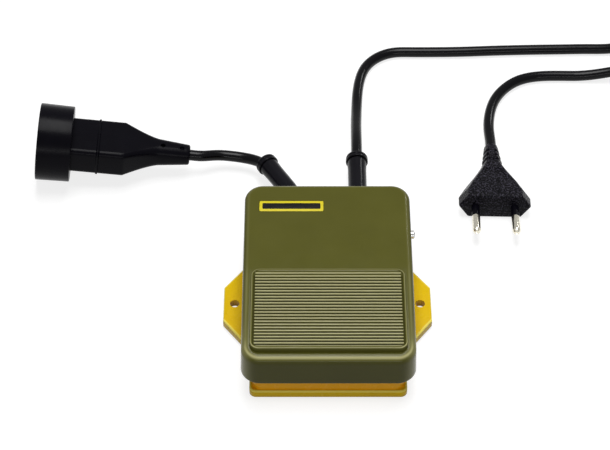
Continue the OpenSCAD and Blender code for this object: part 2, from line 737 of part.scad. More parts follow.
module brown_wires() {
  y = bracket_y + bracket_t;
  color("saddlebrown") wires([for (s = [-1, 1])
    concat(wire_start(s * (lead_x - core_x)),
           [[switch_x + s * wire_side, y + 1.2, (lead_z + wire_z) / 2],
            [switch_x + s * wire_side, y - bracket_t, wire_z + 0.4],
            [switch_x + s * (wire_side - wire_d), switch_y, wire_z],
            [switch_x + s * terminal_x, switch_y, wire_z]])]);
}

module blue_wires() {
  z = floor_z + block_size.z / 2;
  color("royalblue") wires([
    concat(wire_start(-lead_x - core_x), [[block_at.x, 22, z], [block_at.x, 16, z],
                                          [block_at.x, block_at.y + 3.5, z]]),
    concat(wire_start(lead_x + core_x), [[18, 24, 7.5], [18, 14, 5], [15, 3, 4.2], [8, -6, 4.2],
                                         [-2, -12, 4.6], [-11, -14, 6.5], [-16, -12.6, z - 0.4],
                                         [block_at.x, -9.5, z],
                                         [block_at.x, block_at.y - 3.5, z]])]);
}

module pedal_cover() {
  color("olivedrab") difference() {
    union() {
      difference() {
        union() {
          cover_shell();
          tread();
        }
        tread_grooves();
      }
      for (s = [-1, 1]) translate([s * hinge_boss_x(), hinge_y, hinge_z])
        rod_x(2 * lug_r, cover_inner_w / 2 - tray_w / 2 - seat_gap + 1);
      pillar(0, switch_y, pin_top + seat_gap + 0.1, 6);
      difference() {
        pillar(0, spring_y, spring_top_z - spring_cup_h, spring_d + 3);
        translate([0, spring_y, 0]) cylinder(d = spring_d + 2 * seat_gap, h = spring_top_z + seat_gap);
      }
      for (x = [-1, 1]) {
        rib(x * 24, toe_stop_y, tray_top + seat_gap + toe_drop());
        rib(x * 24, heel_stop_y, lid_z + seat_gap);
      }
    }
    translate([0, hinge_y, hinge_z]) rod_x(axle_d + 2 * axle_gap, cover_w + 2);
    for (x = [-lead_x, lead_x]) sleeve_notch(x);
    translate([label_at.x, label_at.y, crown(label_at.y) - label_depth])
      rotate([atan(heel_slope), 0, 0]) linear_extrude(5) plate(label_size.x, label_size.y, 0.8);
  }
}
// Middle of a hinge boss, which starts just clear of the tray and ends in the cover's wall
function hinge_boss_x() = (tray_w / 2 + seat_gap + cover_inner_w / 2 + 1) / 2;
// How far the cover's toe stop comes down over the full travel
function toe_drop() = (hinge_y - toe_stop_y) * sin(travel);

// The cover's shell: a drafted wall, a rounded upper edge and a crown with a fold
module cover_shell() {
  half = 2 * corner_steps + 3;
  heel_cap = [for (i = [0 : half]) i];
  toe_cap = concat([for (i = [half : len(plan(0)) - 1]) i], [0]);
  inner = edge_rings(cover_draft + cover_wall, cover_wall, cover_edge - 1);
  skin(concat(edge_rings(cover_draft, 0, cover_edge),
              [level_ring(0, hem_z), level_ring(cover_wall, hem_z)],
              [for (i = [edge_steps : -1 : 0]) inner[i]]),
       [heel_cap, toe_cap], [heel_cap, toe_cap]);
}

// The raised tread, whose upper face carries on the slope of the heel
module tread() {
  y0 = tread_y - tread_size.y;
  intersection() {
    translate([0, tread_y - tread_size.y / 2, 0]) linear_extrude(crown_z * 2)
      plate(tread_size.x, tread_size.y, tread_r);
    rotate([90, 0, 90]) linear_extrude(cover_w, center = true)
      polygon([[y0, crown(y0) - 1], [tread_y, crown(tread_y) - 1], [tread_y, tread_z(tread_y)],
               [y0, tread_z(y0)]]);
  }
}

module tread_grooves() {
  intersection() {
    translate([0, tread_y - tread_size.y / 2, 0]) linear_extrude(crown_z * 2)
      plate(tread_size.x - 2 * tread_border, tread_size.y - 2 * tread_border,
            tread_r - tread_border);
    for (i = [0 : groove_n - 1])
      translate([0, tread_y - tread_border - rib_pitch * (i + 0.5), 0])
        translate([-cover_w / 2, -groove_w / 2, 0])
          translate([0, 0, tread_z(tread_y - tread_border - rib_pitch * (i + 0.5)) - groove_depth])
            cube([cover_w, groove_w, 5]);
  }
}

// A round pillar from a height up into the cover's crown
module pillar(x, y, z, d) {
  translate([x, y, z]) cylinder(d = d, h = ceiling_z(y) + cover_wall / 2 - z);
}

// A short stop rib from a height up into the cover's crown
module rib(x, y, z) {
  translate([x - stop_size.x / 2, y - stop_size.y / 2, z])
    cube([stop_size.x, stop_size.y, ceiling_z(y) + cover_wall / 2 - z]);
}

// Arched opening in the cover's heel that clears a bend sleeve
module sleeve_notch(x) {
  translate([x, cover_l / 2, lead_z]) rotate([90, 0, 0]) {
    cylinder(d = sleeve_end_d + 2, h = 3 * cover_wall, center = true);
    translate([-(sleeve_end_d + 2) / 2, -lead_z, -1.5 * cover_wall])
      cube([sleeve_end_d + 2, lead_z, 3 * cover_wall]);
  }
}

module coupler_lead() {
  color("black") tube(coupler_route, cord_d, 10);
}

module mains_lead_out() {
  color("black") tube(out_route, cord_d, 10);
}

module mains_lead_in() {
  color("black") tube(in_route, cord_d, 10);
}

// Smooth step from 0 to 1
function ease(v) = let (c = min(max(v, 0), 1)) c * c * (3 - 2 * c);

// Radius of the coil at a number of turns from its middle, with a smooth fold there
function coil_r(turns) = coil_inner
                         + coil_pitch * (sqrt(turns * turns + coil_fold * coil_fold) - coil_fold);

// Point of the coil after a number of turns: a spiral in, a climb of one layer and a spiral out
function coil_point(u) =
  let (a = 90 + coil_turn - 360 * u, half = coil_loops / 2, r = coil_r(u - half))
  coil_centre + [r * cos(a), r * sin(a), coil_pitch * ease(2 * (u - half) + 0.5)];

// Path of the coil, whose two ends run straight for one diameter
function coil_path() =
  let (n = round(coil_loops * coil_rings))
  concat([coil_start], [for (i = [0 : n]) coil_point(coil_loops * i / n)], [coil_end]);

// Least distance between stretches of a path that are more than half a turn apart
function least_gap(p) = min([for (i = [0 : len(p) - 1], j = [i + coil_rings / 2 : len(p) - 1])
                             norm(p[i] - p[j])]) - cord_d;

module mains_coil() {
  echo(str("Least gap of the coiled lead to itself: ", least_gap(coil_path()), " mm"));
  color("black") tube(coil_path(), cord_d, 6);
}

module coil_ties() {
  w = coil_outer - coil_inner + cord_d + 0.4;
  h = coil_pitch + cord_d + 0.2;
  color("dimgray") for (a = [90, -90])
    translate([coil_centre.x, coil_centre.y, tie_t + h / 2]) rotate([90, 0, a])
      translate([(coil_outer + coil_inner) / 2, 0, 0]) linear_extrude(tie_w, center = true)
        difference() {
          plate(w + 2 * tie_t, h + 2 * tie_t, 2);
          plate(w, h, 1.4);
        }
}

// Moves a piece of the coupler from its tail to its place, with its open face towards -X
module at_coupler() {
  translate(coupler_at) rotate([0, coupler_lean, 0]) translate([-coupler_len, 0, 0]) children();
}

// A rounded block along X
module block_x(x0, x1, w, h, r) {
  translate([x0, 0, 0]) rotate([90, 0, 90]) linear_extrude(x1 - x0) plate(w, h, r);
}

module coupler_front() {
  color("black") at_coupler() difference() {
    union() {
      rotate([0, 90, 0]) rotate_extrude()
        polygon([[0, 0], [coupler_od / 2 - collar_chamfer, 0], [coupler_od / 2, collar_chamfer],
                 [coupler_od / 2 - collar_taper, collar_len - collar_chamfer],
                 [coupler_od / 2 - collar_taper - collar_chamfer, collar_len], [0, collar_len]]);
      block_x(collar_len - 1, coupler_joint, coupler_body.x, coupler_body.y, 3.5);
      block_x(coupler_joint - 1, coupler_joint, coupler_body.x + 1, coupler_body.y + 1, 4);
    }
    rotate([0, 90, 0]) translate([0, 0, -1]) cylinder(d = recess_d, h = contact_z0 + 1);
    for (s = [-1, 1]) translate([contact_z0 - 1, s * pin_spacing / 2, 0])
      rotate([0, 90, 0]) cylinder(d = contact_od + 2 * fit_gap, h = coupler_len);
  }
}

module coupler_plate() {
  color("dimgray") at_coupler() translate([recess_depth, 0, 0]) rotate([0, 90, 0]) difference() {
    cylinder(d = recess_d - 2 * fit_gap, h = plate_t);
    for (s = [-1, 1]) translate([0, s * pin_spacing / 2, -1])
      cylinder(d = contact_id + 0.6, h = plate_t + 2);
  }
}

module coupler_contacts() {
  color("goldenrod") at_coupler() for (s = [-1, 1])
    translate([contact_z0, s * pin_spacing / 2, 0]) rotate([0, 90, 0]) difference() {
      cylinder(d = contact_od, h = contact_l);
      translate([0, 0, -1]) cylinder(d = contact_id, h = contact_l);
    }
}

// Section of the coupler across its length: a rounded rectangle of 8 points a corner
function coupler_ring(x, w, h, r) =
  [for (c = [[1, 1, 0], [-1, 1, 90], [-1, -1, 180], [1, -1, 270]],
        p = arc([c.x * (w / 2 - r), c.y * (h / 2 - r)], r, c.z, c.z + 90, 6)) [x, -p.x, p.y]];

module coupler_rear() {
  body = coupler_body;
  d = coupler_tail_d;
  run = coupler_tail_x - coupler_neck;
  color("black") at_coupler() difference() {
    loft(concat([coupler_ring(coupler_joint, body.x, body.y, 3.5),
                 coupler_ring(coupler_neck, body.x, body.y, 3.5)],
                [for (i = [1 : 6]) let (e = 1 - pow(1 - i / 6, 1.5))
                 coupler_ring(coupler_neck + run * i / 6, body.x + (d.x - body.x) * e,
                              body.y + (d.x - body.y) * e, 3.5)],
                [coupler_ring(coupler_len - 0.6, d.y, d.y, 3.2),
                 coupler_ring(coupler_len, d.y - 1, d.y - 1, 2.8)]));
    for (x = dimple_x) translate([coupler_len - x, dimple_y, d.y / 2 - 1]) cylinder(d = 2.4, h = d.x);
  }
}

// Moves a piece of the plug from its tail to its place, with its face towards -Y
module at_plug() {
  translate(plug_tail) rotate([-plug_tilt, 0, -plug_turn]) translate([0, -plug_size.y, 0]) children();
}

// Section of the plug: a flat hexagon with blunted corners
function plug_ring(y, w, h, flat) =
  let (c = [[w, 0], [flat, h], [-flat, h], [-w, 0], [-flat, -h], [flat, -h]] / 2, n = len(c))
  [for (i = [0 : n - 1], s = [-1, 1])
   let (p = c[i], q = c[(i + s + n) % n], b = min(1.2, norm(q - p) / 4), e = p + b * unit(q - p))
   [e.x, y, e.y]];

// Sections of the plug's ribbed tail
function tail_rings() =
  let (l = plug_size.y, w0 = plug_waist_w, w1 = plug_tail_d)
  [for (y = concat([for (g = plug_grooves, s = [-0.5, -0.25, 0.25, 0.5]) [g + s * plug_groove.x,
                   abs(s) < 0.4 ? plug_groove.y : 0]], [[l - 0.7, 0], [l, 0.7]]))
   let (v = (y[0] - plug_waist_y) / (l - plug_waist_y), w = w0 + (w1 - w0) * v - 2 * y[1],
        h = min(w, w1 + (9.6 - w1) * (1 - v) - 2 * y[1]))
   plug_ring(y[0], w, h, w * 0.55)];

module plug_body() {
  w = plug_size.x;
  h = plug_size.z;
  color("black") at_plug() difference() {
    loft(concat([plug_ring(0, w - 1.2, h - 1.2, plug_flat - 0.4), plug_ring(0.8, w, h, plug_flat),
                 plug_ring(plug_band, w, h, plug_flat),
                 plug_ring(plug_waist_y, plug_waist_w, 9.6, plug_waist_w * 0.55)],
                tail_rings()));
    for (s = [-1, 1]) translate([s * pin_spacing / 2, 0, 0]) rotate([90, 0, 0])
      translate([0, 0, -pin_root]) cylinder(d = pin_root_d + 2 * fit_gap, h = pin_root + 1);
  }
}

module plug_pins() {
  color("ivory") at_plug() for (s = [-1, 1])
    translate([s * pin_spacing / 2, 0, 0]) rotate([90, 0, 0]) {
      translate([0, 0, -pin_root]) cylinder(d = pin_root_d, h = pin_root);
      translate([0, 0, -eps]) cylinder(d = pin_d, h = pin_l - 1 + eps);
      translate([0, 0, pin_l - 1]) cylinder(d1 = pin_d, d2 = pin_d - 1.4, h = 1);
    }
}

base_tray();
base_feet();
inner_lid();
lid_screws();
hinge_axle();
return_spring();
microswitch_body();
microswitch_terminals();
microswitch_screws();
terminal_block();
terminal_insert();
terminal_screws();
clamp_bars();
clamp_screws();
sleeve_left();
sleeve_right();
lead_ends();
brown_wires();
blue_wires();
pedal_cover();
push_pin();
microswitch_button();
coupler_lead();
coupler_front();
coupler_rear();
coupler_plate();
coupler_contacts();
mains_lead_out();
mains_coil();
coil_ties();
mains_lead_in();
plug_body();
plug_pins();
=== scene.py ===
"""Looks of a mains foot switch: a ribbed pedal cover over a base, with a coupler and a plug.

Every class below is one sub-assembly. It holds its sizes in millimetres, builds its surfaces
with numpy in the frame's own axes, and dresses them. Meshes are written in metres.
"""

from __future__ import annotations

import functools
import logging
import math
from dataclasses import dataclass, field
from enum import Enum
from typing import Sequence

import bmesh
import bpy
import numpy as np
from numpy.typing import NDArray
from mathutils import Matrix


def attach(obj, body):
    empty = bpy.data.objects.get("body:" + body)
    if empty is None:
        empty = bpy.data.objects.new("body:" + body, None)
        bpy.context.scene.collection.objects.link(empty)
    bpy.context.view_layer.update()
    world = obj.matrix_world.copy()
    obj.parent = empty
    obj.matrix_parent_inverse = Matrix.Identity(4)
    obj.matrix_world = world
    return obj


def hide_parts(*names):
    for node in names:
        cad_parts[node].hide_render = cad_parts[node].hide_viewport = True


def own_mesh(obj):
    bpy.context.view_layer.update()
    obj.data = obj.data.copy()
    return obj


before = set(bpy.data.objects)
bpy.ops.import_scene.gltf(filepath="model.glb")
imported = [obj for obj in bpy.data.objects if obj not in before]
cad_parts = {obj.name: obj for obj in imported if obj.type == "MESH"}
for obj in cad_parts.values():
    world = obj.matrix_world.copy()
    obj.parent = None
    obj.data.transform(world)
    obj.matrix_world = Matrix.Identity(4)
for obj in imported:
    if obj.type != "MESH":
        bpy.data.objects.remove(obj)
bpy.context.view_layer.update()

LOG = logging.getLogger("foot_switch")
MM = 0.001
EPS = 1e-7

Array = NDArray[np.float64]
Object = bpy.types.Object
Material = bpy.types.Material
Tree = bpy.types.NodeTree
Socket = bpy.types.NodeSocket

# Places and sizes that more than one sub-assembly uses, in millimetres and degrees.
LEAD_X, LEAD_Z = 15.2, 9.5
PLUG_TAIL = (82.8, 108.0, 3.7)
PLUG_TURN, PLUG_TILT = 1.5, 4.618
COUPLER_TAIL = (-67.4, 95.6, 10.904)
COUPLER_LEAN = 7.3
HINGE = (29.5, 23.0)
AXLE_D = 4.0
SPRING_Y, SPRING_D = -31.0, 12.0
TRAVEL = 5.0


# ---------------------------------------------------------------- shapes


def unit(vectors: Array) -> Array:
    """Returns vectors divided by their lengths."""
    return vectors / np.linalg.norm(vectors, axis=-1, keepdims=True)


def ease(value: Array) -> Array:
    """Returns the smooth step 3v^2 - 2v^3 of a value held between 0 and 1."""
    v = np.clip(value, 0.0, 1.0)
    return v * v * (3.0 - 2.0 * v)


def line_length(line: Array) -> float:
    """Returns the length of a line of points."""
    return float(np.linalg.norm(np.diff(line, axis=0), axis=1).sum())


def fillet(points: Sequence[Sequence[float]], radii: float | Sequence[float],
           steps: int = 5, closed: bool = False) -> Array:
    """Rounds the corners of a polyline in the plane.

    Each corner becomes an arc that touches both legs, at a distance of radius times the
    tangent of half the turn from the corner, and no further than 48 percent of a leg.

    Args:
        points: corners, in order.
        radii: one radius for all the corners, or one for each.
        steps: points on each arc, less one.
        closed: whether the last corner joins the first.

    Returns:
        The points of the rounded line.
    """
    p = np.asarray(points, float)
    n = len(p)
    r = np.broadcast_to(np.asarray(radii, float), (n,))
    before, after = np.roll(p, 1, axis=0), np.roll(p, -1, axis=0)
    out: list[Array] = []
    for i in range(n):
        if (not closed and i in (0, n - 1)) or r[i] <= 0:
            out.append(p[i:i + 1])
            continue
        a, b = unit(before[i] - p[i]), unit(after[i] - p[i])
        half = 0.5 * math.acos(float(np.clip(np.dot(a, b), -1, 1)))
        if half > 1.55:
            out.append(p[i:i + 1])
            continue
        reach = min(r[i] / math.tan(half), 0.48 * np.linalg.norm(before[i] - p[i]),
                    0.48 * np.linalg.norm(after[i] - p[i]))
        radius = reach * math.tan(half)
        centre = p[i] + unit(a + b) * radius / math.sin(half)
        u, v = p[i] + a * reach - centre, p[i] + b * reach - centre
        arc = math.acos(float(np.clip(np.dot(unit(u), unit(v)), -1, 1)))
        t = np.linspace(0, 1, steps + 1)[:, None]
        out.append(centre + (np.sin((1 - t) * arc) * u + np.sin(t * arc) * v) / math.sin(arc))
    return np.concatenate(out)


def rounded(width: float, height: float, radius: float, steps: int) -> Array:
    """Returns a rectangle with round corners, in the plane about the origin."""
    w, h = width / 2, height / 2
    return fillet([(w, -h), (w, h), (-w, h), (-w, -h)], radius, steps, closed=True)


def spline(points: Array, step: float) -> Array:
    """Carries a natural cubic spline through points.

    Its second derivatives solve the usual three-term equations on the points' chord length,
    and it is then sampled every step along that length.

    Args:
        points: places that the line passes.
        step: distance between samples.

    Returns:
        The sampled line.
    """
    p = np.asarray(points, float)
    h = np.linalg.norm(np.diff(p, axis=0), axis=1)
    t = np.concatenate([[0.0], np.cumsum(h)])
    n = len(p)
    rows = np.eye(n)
    right = np.zeros_like(p)
    i = np.arange(1, n - 1)
    rows[i, i - 1], rows[i, i], rows[i, i + 1] = h[:-1], 2 * (h[:-1] + h[1:]), h[1:]
    right[1:-1] = 6 * (np.diff(p, axis=0)[1:] / h[1:, None]
                       - np.diff(p, axis=0)[:-1] / h[:-1, None])
    bend = np.linalg.solve(rows, right)
    s = np.linspace(0, t[-1], int(t[-1] / step) + 2)
    k = np.clip(np.searchsorted(t, s, side="right") - 1, 0, n - 2)
    w = h[k][:, None]
    a = (t[k + 1] - s)[:, None] / w
    b = 1 - a
    return (a * p[k] + b * p[k + 1]
            + ((a ** 3 - a) * bend[k] + (b ** 3 - b) * bend[k + 1]) * w * w / 6)


def turned(points: Array, degrees: float, axis: str) -> Array:
    """Turns points about one of the frame's axes through the origin.

    Args:
        points: places to turn.
        degrees: angle, counted by the right hand.
        axis: one of X, Y and Z.

    Returns:
        The turned points.
    """
    c, s = math.cos(math.radians(degrees)), math.sin(math.radians(degrees))
    i, j = {"X": (1, 2), "Y": (2, 0), "Z": (0, 1)}[axis]
    out = np.array(points, float)
    out[..., i] = c * points[..., i] - s * points[..., j]
    out[..., j] = s * points[..., i] + c * points[..., j]
    return out


def sweep(path: Array, profile: Array, sides: int) -> Array:
    """Carries a closed profile of (distance along, radius) pairs round a path.

    A point of the profile sits at path(along) + radius (cos a right + sin a up), where right
    is the level direction square to the path and up completes the frame.

    Args:
        path: centre line, close enough together to be read by its length.
        profile: distances along the path and radii.
        sides: points round the path.

    Returns:
        A grid of profile points by sides.
    """
    length = np.concatenate([[0.0], np.cumsum(np.linalg.norm(np.diff(path, axis=0), axis=1))])
    tangent = np.gradient(path, length, axis=0)
    s = np.clip(profile[:, 0], 0, length[-1])
    over = (profile[:, 0] - s)[:, None]
    pick = lambda values: np.stack([np.interp(s, length, values[:, i]) for i in range(3)], -1)
    along = unit(pick(tangent))
    at = pick(path) + over * along
    right = unit(np.cross(along, [0.0, 0.0, 1.0]))
    up = np.cross(right, along)
    a = np.linspace(0, 2 * np.pi, sides, endpoint=False)[None, :, None]
    r = profile[:, 1][:, None, None]
    return at[:, None] + r * (np.cos(a) * right[:, None] + np.sin(a) * up[:, None])


def tube(line: Array, radius: float, sides: int) -> Array:
    """Returns rings of one radius round a line, as many as it has points."""
    s = np.linspace(0, line_length(line), len(line))
    return sweep(line, np.stack([s, np.full_like(s, radius)], -1), sides)


def spun(profile: Array, sides: int) -> tuple[Array, Array, Array]:
    """Turns a profile of (along, radius) pairs about a line.

    Args:
        profile: distances along the line and radii.
        sides: points round the line.

    Returns:
        The distances along the line, and r cos a and r sin a across it.
    """
    a = np.linspace(0, 2 * np.pi, sides, endpoint=False)
    along = np.broadcast_to(profile[:, :1], (len(profile), sides))
    radius = np.maximum(profile[:, 1:], 0.0)
    return along, radius * np.cos(a), radius * np.sin(a)


def grid_faces(rows: int, columns: int, wrap_rows: bool, wrap_columns: bool) -> NDArray[np.int64]:
    """Returns the quads of a grid of points, as rows of four indices."""
    i, j = np.meshgrid(np.arange(rows if wrap_rows else rows - 1),
                       np.arange(columns if wrap_columns else columns - 1), indexing="ij")
    k, m = (i + 1) % rows, (j + 1) % columns
    return np.stack([i * columns + j, i * columns + m, k * columns + m, k * columns + j],
                    -1).reshape(-1, 4)


def link(piece: Object) -> Object:
    """Puts a new object in the scene."""
    bpy.context.scene.collection.objects.link(piece)
    return piece


def smoothed(mesh: bpy.types.Mesh, degrees: float) -> None:
    """Shades a mesh smooth, but sharp where its faces turn by more than an angle."""
    mesh.polygons.foreach_set("use_smooth", np.ones(len(mesh.polygons), bool))
    mesh.set_sharp_from_angle(angle=math.radians(degrees))


class Ends(Enum):
    """What closes the first and last rows of a grid of rings."""

    FLAT = "flat"
    JOINED = "joined"


@dataclass
class Mould:
    """Collects the surfaces of one piece and casts them as one mesh object."""

    name: str
    smooth_angle: float = 38.0
    points: list[Array] = field(default_factory=list)
    faces: list[list[int]] = field(default_factory=list)
    values: dict[str, list[Array]] = field(default_factory=dict)
    count: int = 0

    def add(self, points: Array, faces: Sequence[Sequence[int]], **values: Array) -> None:
        """Adds points in millimetres, faces that index them, and values at the points."""
        flat = np.asarray(points, float).reshape(-1, 3)
        self.points.append(flat)
        self.faces.extend([[int(i) + self.count for i in f] for f in faces])
        for key in set(self.values) | set(values):
            known = self.values.setdefault(key, [np.zeros(self.count)] if self.count else [])
            known.append(np.asarray(values.get(key, np.zeros(len(flat))), float).reshape(-1))
        self.count += len(flat)

    def rings(self, grid: Array, ends: Ends = Ends.FLAT, **values: Array) -> None:
        """Adds a closed skin over rings, whose ends are flat fans or joined to each other."""
        rows, columns = grid.shape[:2]
        faces = grid_faces(rows, columns, ends is Ends.JOINED, True).tolist()
        points = grid.reshape(-1, 3)
        if ends is Ends.FLAT:
            points = np.concatenate([points, grid[0].mean(0)[None], grid[-1].mean(0)[None]])
            last = (rows - 1) * columns
            a = rows * columns
            faces += [[(j + 1) % columns, j, a] for j in range(columns)]
            faces += [[last + j, last + (j + 1) % columns, a + 1] for j in range(columns)]
            values = {k: np.concatenate([np.reshape(v, -1), [np.reshape(v, -1)[0],
                                                             np.reshape(v, -1)[-1]]])
                      for k, v in values.items()}
        self.add(points, faces, **values)

    def lathe(self, profile: Array, origin: Sequence[float], axis: str, sides: int = 48) -> None:
        """Adds a closed profile of (along, radius) pairs turned about an axis at an origin."""
        along, first, second = spun(profile, sides)
        order = {"X": (along, first, second), "Y": (second, along, first),
                 "Z": (first, second, along)}[axis]
        self.rings(np.stack(order, -1) + np.asarray(origin, float), Ends.JOINED)

    def cast(self) -> Object:
        """Makes the mesh object, with its doubles merged, its faces outward and its sharp
        edges marked.

        Returns:
            The new object, at the origin.
        """
        mesh = bpy.data.meshes.new(self.name)
        points = np.concatenate(self.points) * MM
        mesh.from_pydata(points.tolist(), [], self.faces)
        for key, parts in self.values.items():
            attribute = mesh.attributes.new(key, "FLOAT", "POINT")
            attribute.data.foreach_set("value", np.concatenate(parts).astype(np.float32))
        made = bmesh.new()
        made.from_mesh(mesh)
        bmesh.ops.remove_doubles(made, verts=made.verts, dist=EPS)
        bmesh.ops.dissolve_degenerate(made, edges=made.edges, dist=EPS)
        bmesh.ops.recalc_face_normals(made, faces=made.faces)
        made.to_mesh(mesh)
        made.free()
        smoothed(mesh, self.smooth_angle)
        return link(bpy.data.objects.new(self.name, mesh))


def carve(piece: Object, cutter: Object) -> None:
    """Cuts one closed piece with another and removes the cutter.

    Args:
        piece: what is cut, in place.
        cutter: what is taken away.
    """
    cut = piece.modifiers.new("cut", "BOOLEAN")
    cut.operation, cut.solver, cut.object = "DIFFERENCE", "EXACT", cutter
    apply_modifiers(piece)
    bpy.data.objects.remove(cutter)


def apply_modifiers(piece: Object) -> None:
    """Turns the piece's modifiers into its mesh."""
    bpy.context.view_layer.update()
    evaluated = piece.evaluated_get(bpy.context.evaluated_depsgraph_get())
    mesh = bpy.data.meshes.new_from_object(evaluated)
    piece.modifiers.clear()
    piece.data = mesh


def softened(node: str, name: str, width: float, segments: int = 2,
             brim: tuple[float, float] | None = None) -> Object:
    """Copies a CAD node, merges it and rounds its sharp edges.

    Args:
        node: name of the CAD node.
        name: name of the new piece.
        width: width of the rounding, in millimetres.
        segments: facets of the rounding.
        brim: height of a level brim, and the wider rounding of its outer edge.

    Returns:
        The rounded copy.
    """
    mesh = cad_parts[node].data.copy()
    mesh.name = name
    mesh.materials.clear()
    made = bmesh.new()
    made.from_mesh(mesh)
    bmesh.ops.remove_doubles(made, verts=made.verts, dist=2e-6)
    bmesh.ops.dissolve_limit(made, angle_limit=math.radians(0.6), verts=made.verts,
                             edges=made.edges)
    level, widest = brim or (0.0, width)
    weight = made.edges.layers.float.new("bevel_weight_edge")
    for edge in made.edges:
        length = edge.calc_length() / MM
        if edge.calc_face_angle(0.0) < math.radians(35) or length < 2.5 * width:
            continue
        ends = [v.co / MM for v in edge.verts]
        on_brim = brim is not None and all(abs(v.z - level) < 0.02 for v in ends)
        outer = edge.is_convex and (length > 2.0 or abs(ends[0].y) > 40.0)
        if on_brim and outer:
            edge[weight] = 1.0
        elif not on_brim:
            edge[weight] = width / widest
    made.to_mesh(mesh)
    made.free()
    piece = link(bpy.data.objects.new(name, mesh))
    bevel = piece.modifiers.new("edge", "BEVEL")
    bevel.width, bevel.segments, bevel.limit_method = widest * MM, segments, "WEIGHT"
    bevel.use_clamp_overlap = False
    apply_modifiers(piece)
    smoothed(piece.data, 30)
    return piece


# ---------------------------------------------------------------- finishes


def linear(red: int, green: int, blue: int) -> tuple[float, float, float, float]:
    """Returns a display colour of three bytes as linear light."""
    c = np.array([red, green, blue]) / 255.0
    low = c / 12.92
    high = ((c + 0.055) / 1.055) ** 2.4
    return (*np.where(c <= 0.04045, low, high).tolist(), 1.0)


def mottle(tree: Tree, scale: float, detail: float = 3.0) -> bpy.types.Node:
    """Adds a noise on object coordinates, at a scale per metre."""
    place = tree.nodes.new("ShaderNodeTexCoord")
    noise = tree.nodes.new("ShaderNodeTexNoise")
    noise.inputs["Scale"].default_value = scale
    noise.inputs["Detail"].default_value = detail
    tree.links.new(place.outputs["Object"], noise.inputs["Vector"])
    return noise


def spread(tree: Tree, source: Socket, low: float, high: float) -> Socket:
    """Maps 0.3 to 0.7 of a source to the range from low to high."""
    node = tree.nodes.new("ShaderNodeMapRange")
    node.inputs["From Min"].default_value, node.inputs["From Max"].default_value = 0.3, 0.7
    node.inputs["To Min"].default_value, node.inputs["To Max"].default_value = low, high
    tree.links.new(source, node.inputs["Value"])
    return node.outputs["Result"]


def blended(tree: Tree, factor: Socket, first: Sequence[float],
            second: Sequence[float]) -> Socket:
    """Mixes two colours by a factor."""
    node = tree.nodes.new("ShaderNodeMix")
    node.data_type = "RGBA"
    node.inputs[6].default_value, node.inputs[7].default_value = first, second
    tree.links.new(factor, node.inputs["Factor"])
    return node.outputs[2]


def covered(tree: Tree, factor: Socket, under: Socket, colour: tuple[int, int, int]) -> Socket:
    """Lays a display colour over another colour by a factor."""
    node = tree.nodes.new("ShaderNodeMix")
    node.data_type = "RGBA"
    node.inputs[7].default_value = linear(*colour)
    tree.links.new(factor, node.inputs["Factor"])
    tree.links.new(under, node.inputs[6])
    return node.outputs[2]


def bumped(tree: Tree, height: Socket, distance: float, strength: float) -> Socket:
    """Turns a height into a bumped normal, at a depth in metres."""
    node = tree.nodes.new("ShaderNodeBump")
    node.inputs["Distance"].default_value = distance
    node.inputs["Strength"].default_value = strength
    tree.links.new(height, node.inputs["Height"])
    return node.outputs["Normal"]


def principled(name: str) -> tuple[Material, Tree, bpy.types.Node]:
    """Makes a material and returns it with its tree and its shader."""
    made = bpy.data.materials.new(name)
    made.use_nodes = True
    return made, made.node_tree, made.node_tree.nodes["Principled BSDF"]


@dataclass(frozen=True)
class Finish:
    """A surface finish: its colour, gloss and fine grain.

    Attributes:
        name: name of the material.
        colour: display colour of three bytes.
        drift: display colour that patches drift to.
        roughness: lowest and highest roughness.
        grain: size of the grain per metre.
        grain_depth: depth of the grain, in micrometres.
        metallic: 0 for plastic and rubber, 1 for metal.
        specular: specular level.
        coat: weight of a clear gloss layer.
        highlight_and_wear_mark: name of the point value that lays a lighter colour for
            painted highlight and some wear, and the colour there.
        shade_and_dirt_mark: name of the point value that lays a darker colour for painted
            shade and some dirt, and the colour there.
        painted_glint: colour painted on the grain's crests as glints, where they stand out.
    """

    name: str
    colour: tuple[int, int, int]
    drift: tuple[int, int, int]
    roughness: tuple[float, float]
    grain: float
    grain_depth: float
    metallic: float = 0.0
    specular: float = 0.5
    coat: float = 0.0
    highlight_and_wear_mark: tuple[str, tuple[int, int, int]] | None = None
    shade_and_dirt_mark: tuple[str, tuple[int, int, int]] | None = None
    painted_glint: tuple[int, int, int] | None = None

    @functools.cache
    def material(self) -> Material:
        """Returns the material, made once."""
        made, tree, shader = principled(self.name)
        shader.inputs["Metallic"].default_value = self.metallic
        shader.inputs["Specular IOR Level"].default_value = self.specular
        shader.inputs["Coat Weight"].default_value = self.coat
        shader.inputs["Coat Roughness"].default_value = 0.12
        patches = mottle(tree, 55.0)
        colour = blended(tree, spread(tree, patches.outputs["Fac"], 0.0, 1.0),
                         linear(*self.colour), linear(*self.drift))
        # The point values lay painted light over the colour: a lighter colour for painted
        # highlights with some wear, and a darker one for painted shade with some dirt.
        for mark in filter(None, (self.highlight_and_wear_mark, self.shade_and_dirt_mark)):
            value = tree.nodes.new("ShaderNodeAttribute")
            value.attribute_name = mark[0]
            colour = covered(tree, value.outputs["Fac"], colour, mark[1])
        cloud = mottle(tree, 160.0, 4.0)
        tree.links.new(spread(tree, cloud.outputs["Fac"], *self.roughness),
                       shader.inputs["Roughness"])
        grain = mottle(tree, self.grain, 2.0)
        # Painted glints: the grain's crests take a lighter colour.
        if self.painted_glint:
            crest = spread(tree, grain.outputs["Fac"], -1.3, 1.3)
            crest.node.clamp = True
            colour = covered(tree, crest, colour, self.painted_glint)
        tree.links.new(colour, shader.inputs["Base Color"])
        tree.links.new(bumped(tree, grain.outputs["Fac"], self.grain_depth * 1e-6, 1.0),
                       shader.inputs["Normal"])
        return made


